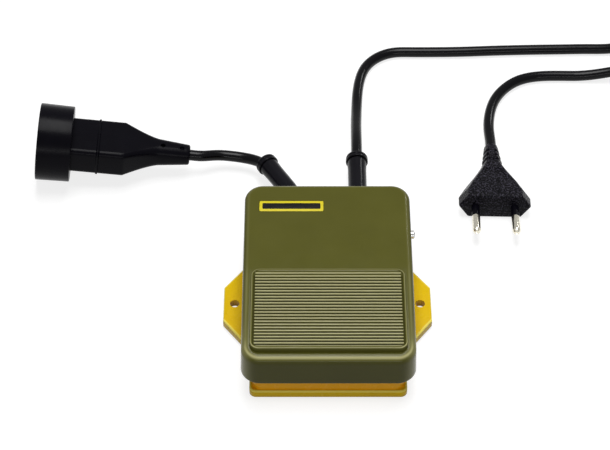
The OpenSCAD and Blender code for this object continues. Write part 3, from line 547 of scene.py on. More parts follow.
@dataclass(frozen=True)
class BrushedFinish:
    """A drawn or turned metal, with fine lines square to one axis.

    Attributes:
        name: name of the material.
        colour: display colour of three bytes.
        roughness: lowest and highest roughness.
        lines: how many times finer the lines are along each axis.
    """

    name: str
    colour: tuple[int, int, int]
    roughness: tuple[float, float]
    lines: tuple[float, float, float]

    @functools.cache
    def material(self) -> Material:
        """Returns the material, made once."""
        made, tree, shader = principled(self.name)
        shader.inputs["Metallic"].default_value = 1.0
        noise = mottle(tree, 900.0, 2.0)
        scale = tree.nodes.new("ShaderNodeMapping")
        scale.inputs["Scale"].default_value = self.lines
        place = noise.inputs["Vector"].links[0].from_socket
        tree.links.new(place, scale.inputs["Vector"])
        tree.links.new(scale.outputs["Vector"], noise.inputs["Vector"])
        base = linear(*self.colour)
        tree.links.new(blended(tree, spread(tree, noise.outputs["Fac"], 0.0, 1.0), base,
                               (*(0.8 * np.array(base[:3])).tolist(), 1.0)),
                       shader.inputs["Base Color"])
        tree.links.new(spread(tree, noise.outputs["Fac"], *self.roughness),
                       shader.inputs["Roughness"])
        tree.links.new(bumped(tree, noise.outputs["Fac"], 4e-6, 0.5), shader.inputs["Normal"])
        return made


# The olive's pale mark is a painted highlight on the cover's rim, sides and tread edge, with some
# wear on the rib crests. Its dark mark is painted shade on the front wall and in the grooves,
# with some dust there.
OLIVE = Finish("cover_olive", (90, 89, 34), (86, 85, 32), (0.15, 0.21), 2600.0, 1.5,
               specular=0.12, highlight_and_wear_mark=("wear", (190, 185, 132)), shade_and_dirt_mark=("dirt", (34, 33, 14)))
# The gold's pale mark is a painted highlight on the brim's outer edge. Its orange mark is painted
# shade on the tray's wall under the cover's hem.
GOLD = Finish("base_gold", (236, 198, 14), (228, 188, 12), (0.22, 0.32), 2200.0, 4.0,
              specular=0.14, highlight_and_wear_mark=("wear", (255, 236, 104)), shade_and_dirt_mark=("dirt", (246, 176, 24)))
LID_BLACK = Finish("lid_black", (26, 27, 30), (22, 23, 26), (0.42, 0.55), 1800.0, 12.0,
                   specular=0.2)
SLEEVE_RUBBER = Finish("sleeve_satin", (22, 21, 27), (17, 16, 21), (0.18, 0.26), 2400.0, 10.0,
                       specular=0.11)
CORD_SHEATH = Finish("cord_gloss", (7, 6, 10), (5, 5, 8), (0.16, 0.22), 1400.0, 4.0,
                     specular=0.15)
# The plug's light flecks are painted glints on its grain.
PLUG_BLACK = Finish("plug_black", (6, 5, 11), (4, 3, 8), (0.2, 0.28), 1250.0, 420.0,
                    specular=0.06, painted_glint=(58, 56, 66))
COUPLER_BLACK = Finish("coupler_black", (10, 9, 16), (7, 6, 12), (0.24, 0.30), 1800.0, 6.0,
                       specular=0.055)
PLATE_GREY = Finish("plate_black", (30, 29, 33), (25, 24, 28), (0.5, 0.6), 2000.0, 16.0,
                    specular=0.2)
FOOT_RUBBER = Finish("foot_matt", (44, 43, 44), (37, 36, 37), (0.65, 0.8), 3000.0, 30.0,
                     specular=0.2)
SWITCH_BLACK = Finish("switch_black", (30, 29, 33), (25, 24, 28), (0.38, 0.5), 2200.0, 10.0,
                      specular=0.2)
BLOCK_IVORY = Finish("block_ivory", (226, 219, 198), (214, 206, 183), (0.4, 0.52), 1800.0, 10.0)
PIN_WHITE = Finish("pin_white", (230, 228, 220), (220, 217, 208), (0.32, 0.45), 1800.0, 8.0)
BUTTON_RED = Finish("button_red", (176, 40, 34), (160, 34, 29), (0.32, 0.42), 1800.0, 8.0)
WIRE_BROWN = Finish("wire_brown", (112, 66, 34), (98, 56, 28), (0.36, 0.46), 1600.0, 10.0)
WIRE_BLUE = Finish("wire_blue", (44, 98, 178), (36, 84, 158), (0.36, 0.46), 1600.0, 10.0)
TIE_BLACK = Finish("tie_black", (24, 24, 27), (18, 18, 21), (0.5, 0.64), 2600.0, 20.0,
                   specular=0.2)
LABEL_YELLOW = Finish("label_yellow", (228, 212, 40), (222, 204, 34), (0.3, 0.4), 2600.0, 3.0,
                      specular=0.2)
LABEL_BLACK = Finish("label_black", (18, 17, 16), (14, 13, 12), (0.26, 0.34), 2600.0, 3.0,
                     specular=0.15)
BRASS = BrushedFinish("brass_bright", (214, 176, 96), (0.24, 0.38), (1.0, 6.0, 1.0))
STEEL = BrushedFinish("zinc_steel", (196, 198, 200), (0.26, 0.42), (1.0, 1.0, 6.0))
AXLE_STEEL = BrushedFinish("axle_turned", (208, 208, 206), (0.18, 0.3), (8.0, 1.0, 1.0))
SPRING_STEEL = BrushedFinish("spring_wire", (172, 173, 176), (0.28, 0.4), (3.0, 3.0, 1.0))
NICKEL = BrushedFinish("nickel_plate", (246, 241, 224), (0.14, 0.26), (4.0, 1.0, 4.0))

AnyFinish = Finish | BrushedFinish


def seat(piece: Object, finish: AnyFinish, body: str,
         stands_for: Sequence[str] = ()) -> Object:
    """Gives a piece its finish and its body.

    Args:
        piece: the object.
        finish: its finish.
        body: the CAD body that it moves with.
        stands_for: CAD nodes that it replaces.

    Returns:
        The piece.
    """
    piece.data.materials.clear()
    piece.data.materials.append(finish.material())
    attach(piece, body)
    if stands_for:
        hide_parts(*stands_for)
    LOG.info("%s: %d faces, on %s", piece.name, len(piece.data.polygons), body)
    return piece


def dress(finish: AnyFinish, *nodes: str) -> None:
    """Gives CAD nodes, whose shapes are kept, a finish."""
    for name in nodes:
        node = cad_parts[name]
        node.data.materials.clear()
        node.data.materials.append(finish.material())
        LOG.info("%s: kept, dressed in %s", name, finish.name)


# ---------------------------------------------------------------- studio


def seen_rays(tree: Tree, hidden: float, seen: float) -> Socket:
    """Tells rays that show a thing, to the eye, in a mirror or through glass, from others.

    Args:
        tree: node tree to work in.
        hidden: value for the other rays.
        seen: value for camera, glossy and transmission rays.

    Returns:
        The value's socket.
    """
    path = tree.nodes.new("ShaderNodeLightPath")
    rays = path.outputs["Is Camera Ray"]
    for other in ("Is Glossy Ray", "Is Transmission Ray"):
        either = tree.nodes.new("ShaderNodeMath")
        either.operation = "MAXIMUM"
        tree.links.new(rays, either.inputs[0])
        tree.links.new(path.outputs[other], either.inputs[1])
        rays = either.outputs["Value"]
    node = tree.nodes.new("ShaderNodeMapRange")
    node.inputs["To Min"].default_value, node.inputs["To Max"].default_value = hidden, seen
    tree.links.new(rays, node.inputs["Value"])
    return node.outputs["Result"]


@dataclass
class Studio:
    """Camera, lamps, floor and sky.

    Attributes:
        eye: place of the camera, in millimetres.
        aim: place that it looks at.
        lens: focal length on a sensor 36 mm wide.
        sky_light: strength of the sky as a lamp.
        sky_white: strength of the sky where it is seen or mirrored.
        paper: how much light the floor's paper sends back.
        paper_glow: glow that makes the lit paper white.
    """

    eye: tuple[float, float, float] = (-10.4, -597.8, 679.1)
    aim: tuple[float, float, float] = (-10.4, 58.0, 0.0)
    lens: float = 114.85
    sky_light: float = 0.12
    sky_white: float = 0.5
    paper: float = 0.33
    paper_glow: float = 0.80

    def camera(self) -> None:
        """Places the camera, level, and makes it the scene's."""
        lens = bpy.data.cameras.new("camera")
        lens.lens, lens.sensor_width = self.lens, 36.0
        lens.clip_start, lens.clip_end = 0.01, 20.0
        camera = link(bpy.data.objects.new("camera", lens))
        eye, aim = np.array(self.eye), np.array(self.aim)
        camera.location = eye * MM
        tilt = math.atan2(np.linalg.norm((aim - eye)[:2]), eye[2] - aim[2])
        camera.rotation_euler = (tilt, 0.0, 0.0)
        bpy.context.scene.camera = camera

    def lamp(self, name: str, place: Sequence[float], aim: Sequence[float],
             size: tuple[float, float], watts: float) -> None:
        """Hangs a soft lamp, in metres, turned to a place.

        Args:
            name: name of the lamp.
            place: where it hangs.
            aim: what it faces.
            size: width and height of its face.
            watts: its power.
        """
        light = bpy.data.lights.new(name, "AREA")
        light.shape, light.energy = "RECTANGLE", watts
        light.size, light.size_y = size
        lamp = link(bpy.data.objects.new(name, light))
        lamp.location = place
        toward = np.array(aim, float) - np.array(place, float)
        level = np.linalg.norm(toward[:2])
        lamp.rotation_euler = (math.atan2(level, -toward[2]), 0.0,
                               math.atan2(-toward[0], toward[1]) if level > 1e-9 else 0.0)

    def sky(self) -> None:
        """Makes a plain sky, white where it is seen or mirrored and dim as a lamp, so that
        dark plastics stay dark."""
        world = bpy.data.worlds.new("sky")
        world.use_nodes = True
        tree = world.node_tree
        background = tree.nodes["Background"]
        background.inputs["Color"].default_value = (1.0, 1.0, 1.0, 1.0)
        tree.links.new(seen_rays(tree, self.sky_light, self.sky_white),
                       background.inputs["Strength"])
        bpy.context.scene.world = world

    def floor(self) -> None:
        """Lays a large floor of pale paper. It shows white to the camera, to metal and to
        glass by a glow of its own, and keeps a light shadow of the object."""
        half = 12.0
        mesh = bpy.data.meshes.new("floor")
        mesh.from_pydata([(-half, -half, 0), (half, -half, 0), (half, half, 0),
                          (-half, half, 0)], [], [(0, 1, 2, 3)])
        floor = link(bpy.data.objects.new("floor", mesh))
        made, tree, shader = principled("floor_paper")
        shader.inputs["Roughness"].default_value = 0.9
        shader.inputs["Specular IOR Level"].default_value = 0.1
        shader.inputs["Emission Color"].default_value = (1.0, 1.0, 1.0, 1.0)
        grain = mottle(tree, 900.0)
        light, dark = ((*[shade] * 3, 1.0) for shade in (self.paper, self.paper - 0.02))
        tree.links.new(blended(tree, spread(tree, grain.outputs["Fac"], 0.0, 1.0), light, dark),
                       shader.inputs["Base Color"])
        tree.links.new(seen_rays(tree, 0.0, self.paper_glow), shader.inputs["Emission Strength"])
        mesh.materials.append(made)

    def build(self) -> None:
        """Sets up the whole studio."""
        self.camera()
        self.sky()
        self.floor()
        self.lamp("top", (0.02, 0.25, 1.3), (0.0, 0.05, 0.0), (0.55, 0.9), 14.4)
        self.lamp("front", (0.0, -1.25, 0.5), (0.0, 0.05, 0.02), (1.4, 0.12), 4.0)
        self.lamp("back", (0.86, 1.08, 0.72), (0.02, 0.06, 0.01), (0.16, 0.16), 1.6)
        bpy.context.scene.view_settings.view_transform = "Standard"


# ---------------------------------------------------------------- leads


@dataclass
class Leads:
    """The sheathed leads, their bend sleeves and the tied coil.

    Attributes:
        diameter: thickness of the sheath.
        side: distance of each lead from the middle.
        height: height of the leads where they enter the base.
        wall: rear face of the tray.
        straight_end: end of the straight sleeve.
        bend, turn, lead_in, run: radius and angle of the bent sleeve, and its straight parts.
        sleeve_d, sleeve_end_d: thickness of a sleeve where it starts and before its collar.
        collar_d, collar_l: thickness and length of a sleeve's collar.
        bore: radius of a sleeve's bore.
        mouth_turn, mouth_drop: how far the lead turns and sinks where it leaves the bend.
        coil_gap: space between two loops.
        coil_inner: radius of the innermost loop.
        coil_fold: how softly the spiral turns back, in loops.
        coil_whole_loops: loops before the ends are brought in line.
        tie_t, tie_w: thickness and width of a tie.
        root: how far inside the tray's wall a sleeve starts.
        core_l: how far inside the tray's wall a lead ends.
        step: distance between rings along a lead.
        sides: points round a lead.
    """

    diameter: float = 5.4
    side: float = LEAD_X
    height: float = LEAD_Z
    wall: float = 48.4
    straight_end: float = 95.0
    bend: float = 30.0
    turn: float = 31.0
    lead_in: float = 10.6
    run: float = 20.4
    sleeve_d: float = 8.8
    sleeve_end_d: float = 9.5
    collar_d: float = 10.9
    collar_l: float = 3.4
    bore: float = 2.75
    mouth_turn: float = 20.0
    mouth_drop: float = 0.6
    coil_gap: float = 0.6
    coil_inner: float = 22.0
    coil_fold: float = 0.1
    coil_whole_loops: int = 6
    tie_t: float = 0.6
    tie_w: float = 6.0
    root: float = 3.5
    core_l: float = 14.9
    step: float = 1.4
    sides: int = 16

    def bent_axis(self) -> Array:
        """Returns the centre line of the bent sleeve: straight, an arc, and straight again."""
        t = np.radians(np.linspace(0, self.turn, 40))
        arc = np.stack([-self.side - self.bend * (1 - np.cos(t)),
                        self.wall + self.lead_in + self.bend * np.sin(t),
                        np.full_like(t, self.height)], -1)
        ahead = np.array([-math.sin(t[-1]), math.cos(t[-1]), 0.0])
        lead = np.linspace(-self.root, self.lead_in, 14)[:-1]
        first = np.stack([np.full_like(lead, -self.side), self.wall + lead,
                          np.full_like(lead, self.height)], -1)
        last = arc[-1] + np.linspace(0, self.run, 20)[1:, None] * ahead
        return np.concatenate([first, arc, last])

    def mouth(self) -> tuple[Array, Array]:
        """Returns where the lead leaves the bent sleeve, and in which direction."""
        t = math.radians(self.turn)
        end = self.bent_axis()[-1]
        out = math.radians(self.turn + self.mouth_turn)
        ahead = unit(np.array([-math.sin(out), math.cos(out), -0.18]))
        return end - [math.cos(t), math.sin(t), self.mouth_drop], ahead

    def coupler_route(self) -> Array:
        """Returns the points that the coupler's lead passes."""
        lean = math.radians(COUPLER_LEAN)
        ahead = np.array([math.cos(lean), 0.0, -math.sin(lean)])
        at, out = self.mouth()
        tail = np.array(COUPLER_TAIL)
        return np.array([at, at + self.diameter * out, [-40, 96.9, 7.5], [-46.8, 98.1, 7.7],
                         [-54.4, 97.7, 8.7], tail + self.diameter * ahead, tail])

    def out_route(self) -> Array:
        """Returns the points from the straight sleeve to the coil."""
        return np.array([
            [self.side, self.straight_end, self.height],
            [self.side, self.straight_end + self.diameter, self.height],
            [15.3, 110, 8.6], [15.4, 120, 6.5], [15.7, 130, 4.3], [16.1, 140, 2.9],
            [16.8, 151, 2.7], [18.3, 161.2, 2.7], [21.6, 170.7, 2.7], [27.8, 178, 2.7],
            [35.6, 181.8, 2.7], [45, 182.4, 2.7], [58, 182.4, 2.7], [72, 182.7, 2.7],
            [86, 183.4, 2.7], [100, 184, 2.7], [114, 184.4, 2.7], [128, 184.7, 2.7],
            [138, 184.9, 2.7], [148, 185, 2.7], [154.3, 185.9, 2.8], [160.1, 188.6, 3.1],
            [164.9, 192.9, 3.4], [168.4, 197.1, 3.4]])

    def coil_radius(self, turns: Array) -> Array:
        """Returns the coil's radius: the least radius plus a pitch for each turn from its
        middle, with a smooth fold there."""
        pitch = self.diameter + self.coil_gap
        return self.coil_inner + pitch * (np.hypot(turns, self.coil_fold) - self.coil_fold)

    def coil_frame(self) -> tuple[Array, Array, float, float]:
        """Returns the coil's heading, its centre, its turn in radians and its loops."""
        route = self.out_route()
        heading = unit(route[-1] - route[-2])
        turn = math.atan2(heading[1], heading[0])
        loops = self.coil_whole_loops + 2 * (math.pi / 2 + turn) / (2 * math.pi)
        outer = float(self.coil_radius(np.array(loops / 2)))
        centre = (route[-1] + self.diameter * heading
                  + outer * np.array([math.sin(turn), -math.cos(turn), 0.0]))
        return heading, centre, turn, loops

    def coil_path(self) -> Array:
        """Returns the coil's line: a spiral in, a climb of one layer and a spiral out."""
        _, centre, turn, loops = self.coil_frame()
        u = np.linspace(0, loops, int(loops * 24) + 1)
        a = math.pi / 2 + turn - 2 * math.pi * u
        r = self.coil_radius(u - loops / 2)
        climb = (self.diameter + self.coil_gap) * ease(2 * (u - loops / 2) + 0.5)
        return centre + np.stack([r * np.cos(a), r * np.sin(a), climb], -1)

    def mains_points(self) -> Array:
        """Returns the points of the mains lead, from the straight sleeve to the plug."""
        heading, *_ = self.coil_frame()
        coil = self.coil_path()
        away = np.array([-heading[0], heading[1], 0.0])
        end = coil[-1] + self.diameter * away
        turn, tilt = math.radians(PLUG_TURN), math.radians(PLUG_TILT)
        ahead = np.array([math.sin(turn) * math.cos(tilt), math.cos(turn) * math.cos(tilt),
                          -math.sin(tilt)])
        tail = np.array(PLUG_TAIL)
        back = np.array([end, end + self.diameter * away, [160.1, 160.2, 8.9],
                         [154.3, 162.6, 7.3], [148, 163.3, 5.5], [139, 163.4, 3.6],
                         [130, 163.5, 2.7], [120.5, 163.6, 2.7], [111, 163.1, 2.7],
                         [101.6, 160.4, 2.7], [93.4, 154, 2.7], [87.2, 144.5, 2.7],
                         [84, 134, 2.7], [82.8, 122, 2.8], tail + self.diameter * ahead, tail])
        return np.concatenate([self.out_route(), coil, back])

    def cord(self, name: str, points: Array, nodes: Sequence[str]) -> tuple[Object, Array]:
        """Makes a cord along a spline through points.

        Args:
            name: name of the piece.
            points: places that the cord passes.
            nodes: CAD nodes that it replaces.

        Returns:
            The cord and its centre line.
        """
        path = spline(points, self.step)
        path[:, 2] = np.maximum(path[:, 2], self.diameter / 2)
        mould = Mould(name)
        mould.rings(tube(path, self.diameter / 2, self.sides))
        return seat(mould.cast(), CORD_SHEATH, "base", nodes), path

    def sleeve(self, name: str, path: Array, length: float, node: str, mouth: float) -> Object:
        """Makes a bend sleeve: a foot, a long slightly growing barrel and a stepped collar.

        Args:
            name: name of the piece.
            path: its centre line, which starts inside the tray's wall.
            length: length of the centre line.
            node: CAD node that it replaces.
            mouth: how much wider the bore is at its end.

        Returns:
            The sleeve.
        """
        r, end, collar = self.sleeve_d / 2, self.sleeve_end_d / 2, self.collar_d / 2
        start = length - self.collar_l
        outline = fillet([
            (0, self.bore), (0, r + 1), (1.5, r + 1), (1.5, r), (start - 6, r + 0.12),
            (start - 0.5, end), (start - 0.5, end - 0.35), (start, end - 0.35),
            (start, collar), (start + 1.5, collar), (start + 1.5, collar - 0.3),
            (start + 1.9, collar - 0.3), (start + 1.9, collar), (length, collar - 0.15),
            (length, self.bore + mouth), (length - max(mouth, 0.1) * 5.5, self.bore)],
            [0.2, 0.3, 0.2, 0.2, 3, 0.2, 0.1, 0.1, 0.35, 0.12, 0.1, 0.1, 0.12, 0.75, 0.3, 0.5],
            5, closed=True)
        dense: list[Array] = []
        for a, b in zip(outline, np.roll(outline, -1, axis=0)):
            n = max(1, int(abs(b[0] - a[0]) / 1.2))
            dense.append(a + (b - a) * (np.arange(n)[:, None] / n))
        mould = Mould(name)
        mould.rings(sweep(path, np.concatenate(dense), 40), Ends.JOINED)
        return seat(mould.cast(), SLEEVE_RUBBER, "base", [node])

    def ties(self) -> Object:
        """Makes the two ties of the coil: flat closed bands with rounded corners."""
        _, centre, _, loops = self.coil_frame()
        outer = float(self.coil_radius(np.array(loops / 2)))
        pitch = self.diameter + self.coil_gap
        w = outer - self.coil_inner + self.diameter + 0.4
        h = pitch + self.diameter + 0.2
        edge, half_w = 0.18, self.tie_w / 2
        near = [(0.0, 1.4, edge - half_w), (edge, 1.5, -half_w),
                (self.tie_t - edge, 1.9, -half_w), (self.tie_t, 2.0, edge - half_w)]
        far = [(grow, radius, -x) for grow, radius, x in reversed(near)]
        middle = (outer + self.coil_inner) / 2
        mould = Mould("coil_bands")
        for side in (1, -1):
            rows = []
            for grow, radius, x in near + far:
                line = rounded(w + 2 * grow, h + 2 * grow, radius, 8)
                rows.append(np.stack([np.full(len(line), x), side * (middle + line[:, 0]),
                                      line[:, 1] + self.tie_t + h / 2], -1))
            grid = np.stack(rows)
            mould.rings(grid + [centre[0], centre[1], 0.0], Ends.JOINED)
        return seat(mould.cast(), TIE_BLACK, "base", ["coil_ties"])

    def inner_ends(self) -> Object:
        """Makes the stretches of lead inside the sleeves and the base."""
        end_y = self.wall - self.core_l
        mould = Mould("lead_cores")
        straight = np.array([[self.side, y, self.height]
                             for y in np.linspace(end_y, self.straight_end, 40)])
        at, out = self.mouth()
        axis = self.bent_axis()
        # The axis's ends are left out, and the spline eases into the straight parts.
        keep = axis[6:-9]
        bent = np.concatenate([[[-self.side, end_y, self.height]], keep,
                               [at - 0.6 * self.diameter * out, at]])
        for line in (straight, spline(bent, self.step)):
            mould.rings(tube(line, self.diameter / 2, self.sides))
        return seat(mould.cast(), CORD_SHEATH, "base", ["lead_ends"])

    def build(self) -> dict[str, tuple[Object, Array]]:
        """Builds the leads and what sits on them.

        Returns:
            The two free cords and their centre lines.
        """
        free = {
            "coupler": self.cord("coupler_flex", self.coupler_route(), ["coupler_lead"]),
            "mains": self.cord("mains_flex", self.mains_points(),
                               ["mains_lead_out", "mains_coil", "mains_lead_in"]),
        }
        self.inner_ends()
        self.ties()
        start = self.wall - self.root
        y = np.linspace(start, self.straight_end, 60)
        straight = np.stack([np.full_like(y, self.side), y, np.full_like(y, self.height)], -1)
        self.sleeve("straight_sleeve", straight, self.straight_end - start, "sleeve_right", 0.05)
        bent = self.bent_axis()
        self.sleeve("bent_sleeve", bent, line_length(bent), "sleeve_left", 1.4)
        return free


# ---------------------------------------------------------------- plug


@dataclass
class Plug:
    """The flat two-pin plug: a six-sided body, a ribbed tail and two pins.

    Attributes:
        width, length, thick, flat: the body's size, and the width of its flat top.
        band: how far the full section reaches behind the face.
        waist_y, waist_w, waist_h: where the tail starts, and the body's size there.
        tail_d: thickness of the tail at its end.
        pin_d, pin_l, pin_root: thickness of a pin, and its length outside and inside.
        pin_sleeve: length of a pin's insulating sleeve outside.
        spacing: distance between the pins' middle lines.
        grooves: distances of the tail's grooves from the face.
    """

    width: float = 35.3
    length: float = 45.0
    thick: float = 13.7
    flat: float = 25.6
    band: float = 6.0
    waist_y: float = 29.5
    waist_w: float = 11.0
    waist_h: float = 9.6
    tail_d: float = 7.4
    pin_d: float = 4.0
    pin_l: float = 19.0
    pin_root: float = 8.0
    pin_sleeve: float = 7.6
    spacing: float = 19.0
    grooves: tuple[float, ...] = (31.5, 35.2, 38.9)

    def place(self, grid: Array) -> Array:
        """Moves points from the plug's own axes, face at the origin, to its place."""
        moved = turned(turned(grid - [0.0, self.length, 0.0], -PLUG_TILT, "X"), -PLUG_TURN, "Z")
        return moved + np.array(PLUG_TAIL)

    def section(self, w: float, h: float, flat: float, radius: float) -> Array:
        """Returns a six-sided outline with round corners, as (x, z) pairs."""
        corners = np.array([[w, 0], [flat, h], [-flat, h], [-w, 0], [-flat, -h], [flat, -h]]) / 2
        side = radius * np.array([0.8, 1, 1, 0.8, 1, 1])
        return fillet(corners, side, 7, closed=True)

    def sizes(self, y: float) -> tuple[float, float, float, float]:
        """Returns width, thickness, flat and corner radius at a distance from the face.

        From the face to the band all are the full sizes. From the band to the waist they
        shrink in a straight line with an eased start, and from the waist to the tail in a
        straight line.

        Args:
            y: distance from the face.

        Returns:
            The four sizes.
        """
        if y <= self.waist_y:
            v = max(0.0, (y - self.band) / (self.waist_y - self.band))
            v = v - 0.06 * math.sin(2 * math.pi * v) / (2 * math.pi) * 2
            w = self.width + (self.waist_w - self.width) * v
            h = self.thick + (self.waist_h - self.thick) * v
            flat = self.flat + (self.waist_w * 0.55 - self.flat) * v
            return w, h, flat, 1.3
        v = (y - self.waist_y) / (self.length - self.waist_y)
        w = self.waist_w + (self.tail_d - self.waist_w) * v
        h = min(w, self.tail_d + (self.waist_h - self.tail_d) * (1 - v))
        return w, h, w * 0.55, 1.3 + 1.6 * v

    def body(self) -> Object:
        """Makes the plug's body from its sections, with a rounded face and three grooves
        that leave a ridge standing along the middle of the tail."""
        ys = np.concatenate([[0.0, 0.12, 0.35, 0.7, 1.1], np.linspace(1.6, self.band, 6),
                             np.linspace(self.band, self.waist_y, 30)[1:],
                             np.linspace(self.waist_y, self.length - 0.8, 90)[1:],
                             self.length - 0.8 + 0.8 * np.sin(np.linspace(0, np.pi / 2, 6))[1:]])
        rows = []
        for y in ys:
            w, h, flat, radius = self.sizes(float(y))
            face = 1.1 - math.sqrt(max(0.0, 1.1 ** 2 - (1.1 - y) ** 2)) if y < 1.1 else 0.0
            near_end = y - (self.length - 0.8)
            end = 0.8 - math.sqrt(max(0.0, 0.64 - near_end ** 2)) if near_end > 0 else 0.0
            cut = face + end
            line = self.section(w - 2 * cut, h - 2 * cut, flat - 0.6 * cut, radius)
            ring = np.stack([line[:, 0], np.full(len(line), y), line[:, 1]], -1)
            depth = sum(ease(np.array((1.15 - abs(y - g)) / 0.75)) for g in self.grooves)
            ridge = ease((np.abs(ring[:, 0]) - 1.1) / 0.7)
            level = np.clip(np.hypot(ring[:, 0], ring[:, 2]), 1e-6, None)
            shrink = 1 - 0.75 * float(depth) * ridge / level
            ring[:, 0] *= shrink
            ring[:, 2] *= shrink
            rows.append(ring)
        mould = Mould("plug_shell", 32.0)
        mould.rings(self.place(np.stack(rows)))
        shell = mould.cast()
        panel = Mould("panel")
        line = fillet([(7.4, 11.0), (3.6, 23.5), (-3.6, 23.5), (-7.4, 11.0)], 3.0, 8, closed=True)
        low = np.stack([line[:, 0], line[:, 1], np.zeros(len(line))], -1)
        slope = (self.thick - self.waist_h) / 2 / (self.waist_y - self.band)
        low[:, 2] = self.thick / 2 - slope * (low[:, 1] - self.band) - 0.25
        high = low + [0, 0, 3.0]
        panel.rings(self.place(np.stack([low, high])))
        carve(shell, panel.cast())
        smoothed(shell.data, 32)
        return seat(shell, PLUG_BLACK, "base", ["plug_body"])

    def rods(self, mould: Mould, profile: Array, ends: Ends) -> None:
        """Adds a profile of (along, radius) pairs turned about each pin's middle line."""
        along, across, up = spun(profile, 32)
        for side in (-1, 1):
            grid = np.stack([side * self.spacing / 2 + across, along, up], -1)
            mould.rings(self.place(grid), ends)

    def pins(self) -> Object:
        """Makes the two pins: round rods, thinner in their sleeves, with domed ends and a
        small centre mark."""
        r = self.pin_d / 2
        thin, step = r - 0.3, -self.pin_sleeve
        mould = Mould("plug_prongs", 40.0)
        self.rods(mould, fillet([(self.pin_root, 0), (self.pin_root, thin), (step, thin),
                                 (step, r), (-self.pin_l + 1.6, r),
                                 (-self.pin_l + 0.5, r - 0.45), (-self.pin_l, r - 1.1),
                                 (-self.pin_l + 0.35, 0.32), (-self.pin_l + 0.5, 0)],
                                [0, 0.1, 0, 0.12, 1.2, 0.8, 0.2, 0.1, 0], 6), Ends.FLAT)
        return seat(mould.cast(), NICKEL, "base", ["plug_pins"])

    def pin_sleeves(self) -> Object:
        """Makes the insulating sleeves round the pins' roots."""
        r = self.pin_d / 2
        mould = Mould("plug_prong_sleeves", 40.0)
        self.rods(mould, fillet([(2.0, r - 0.32), (2.0, r - 0.04), (-self.pin_sleeve, r - 0.04),
                                 (-self.pin_sleeve, r - 0.32)], [0, 0, 0.1, 0], 4, closed=True),
                  Ends.JOINED)
        return seat(mould.cast(), COUPLER_BLACK, "base")

    def build(self) -> None:
        """Builds the plug."""
        self.body()
        self.pins()
        self.pin_sleeves()


# ---------------------------------------------------------------- coupler


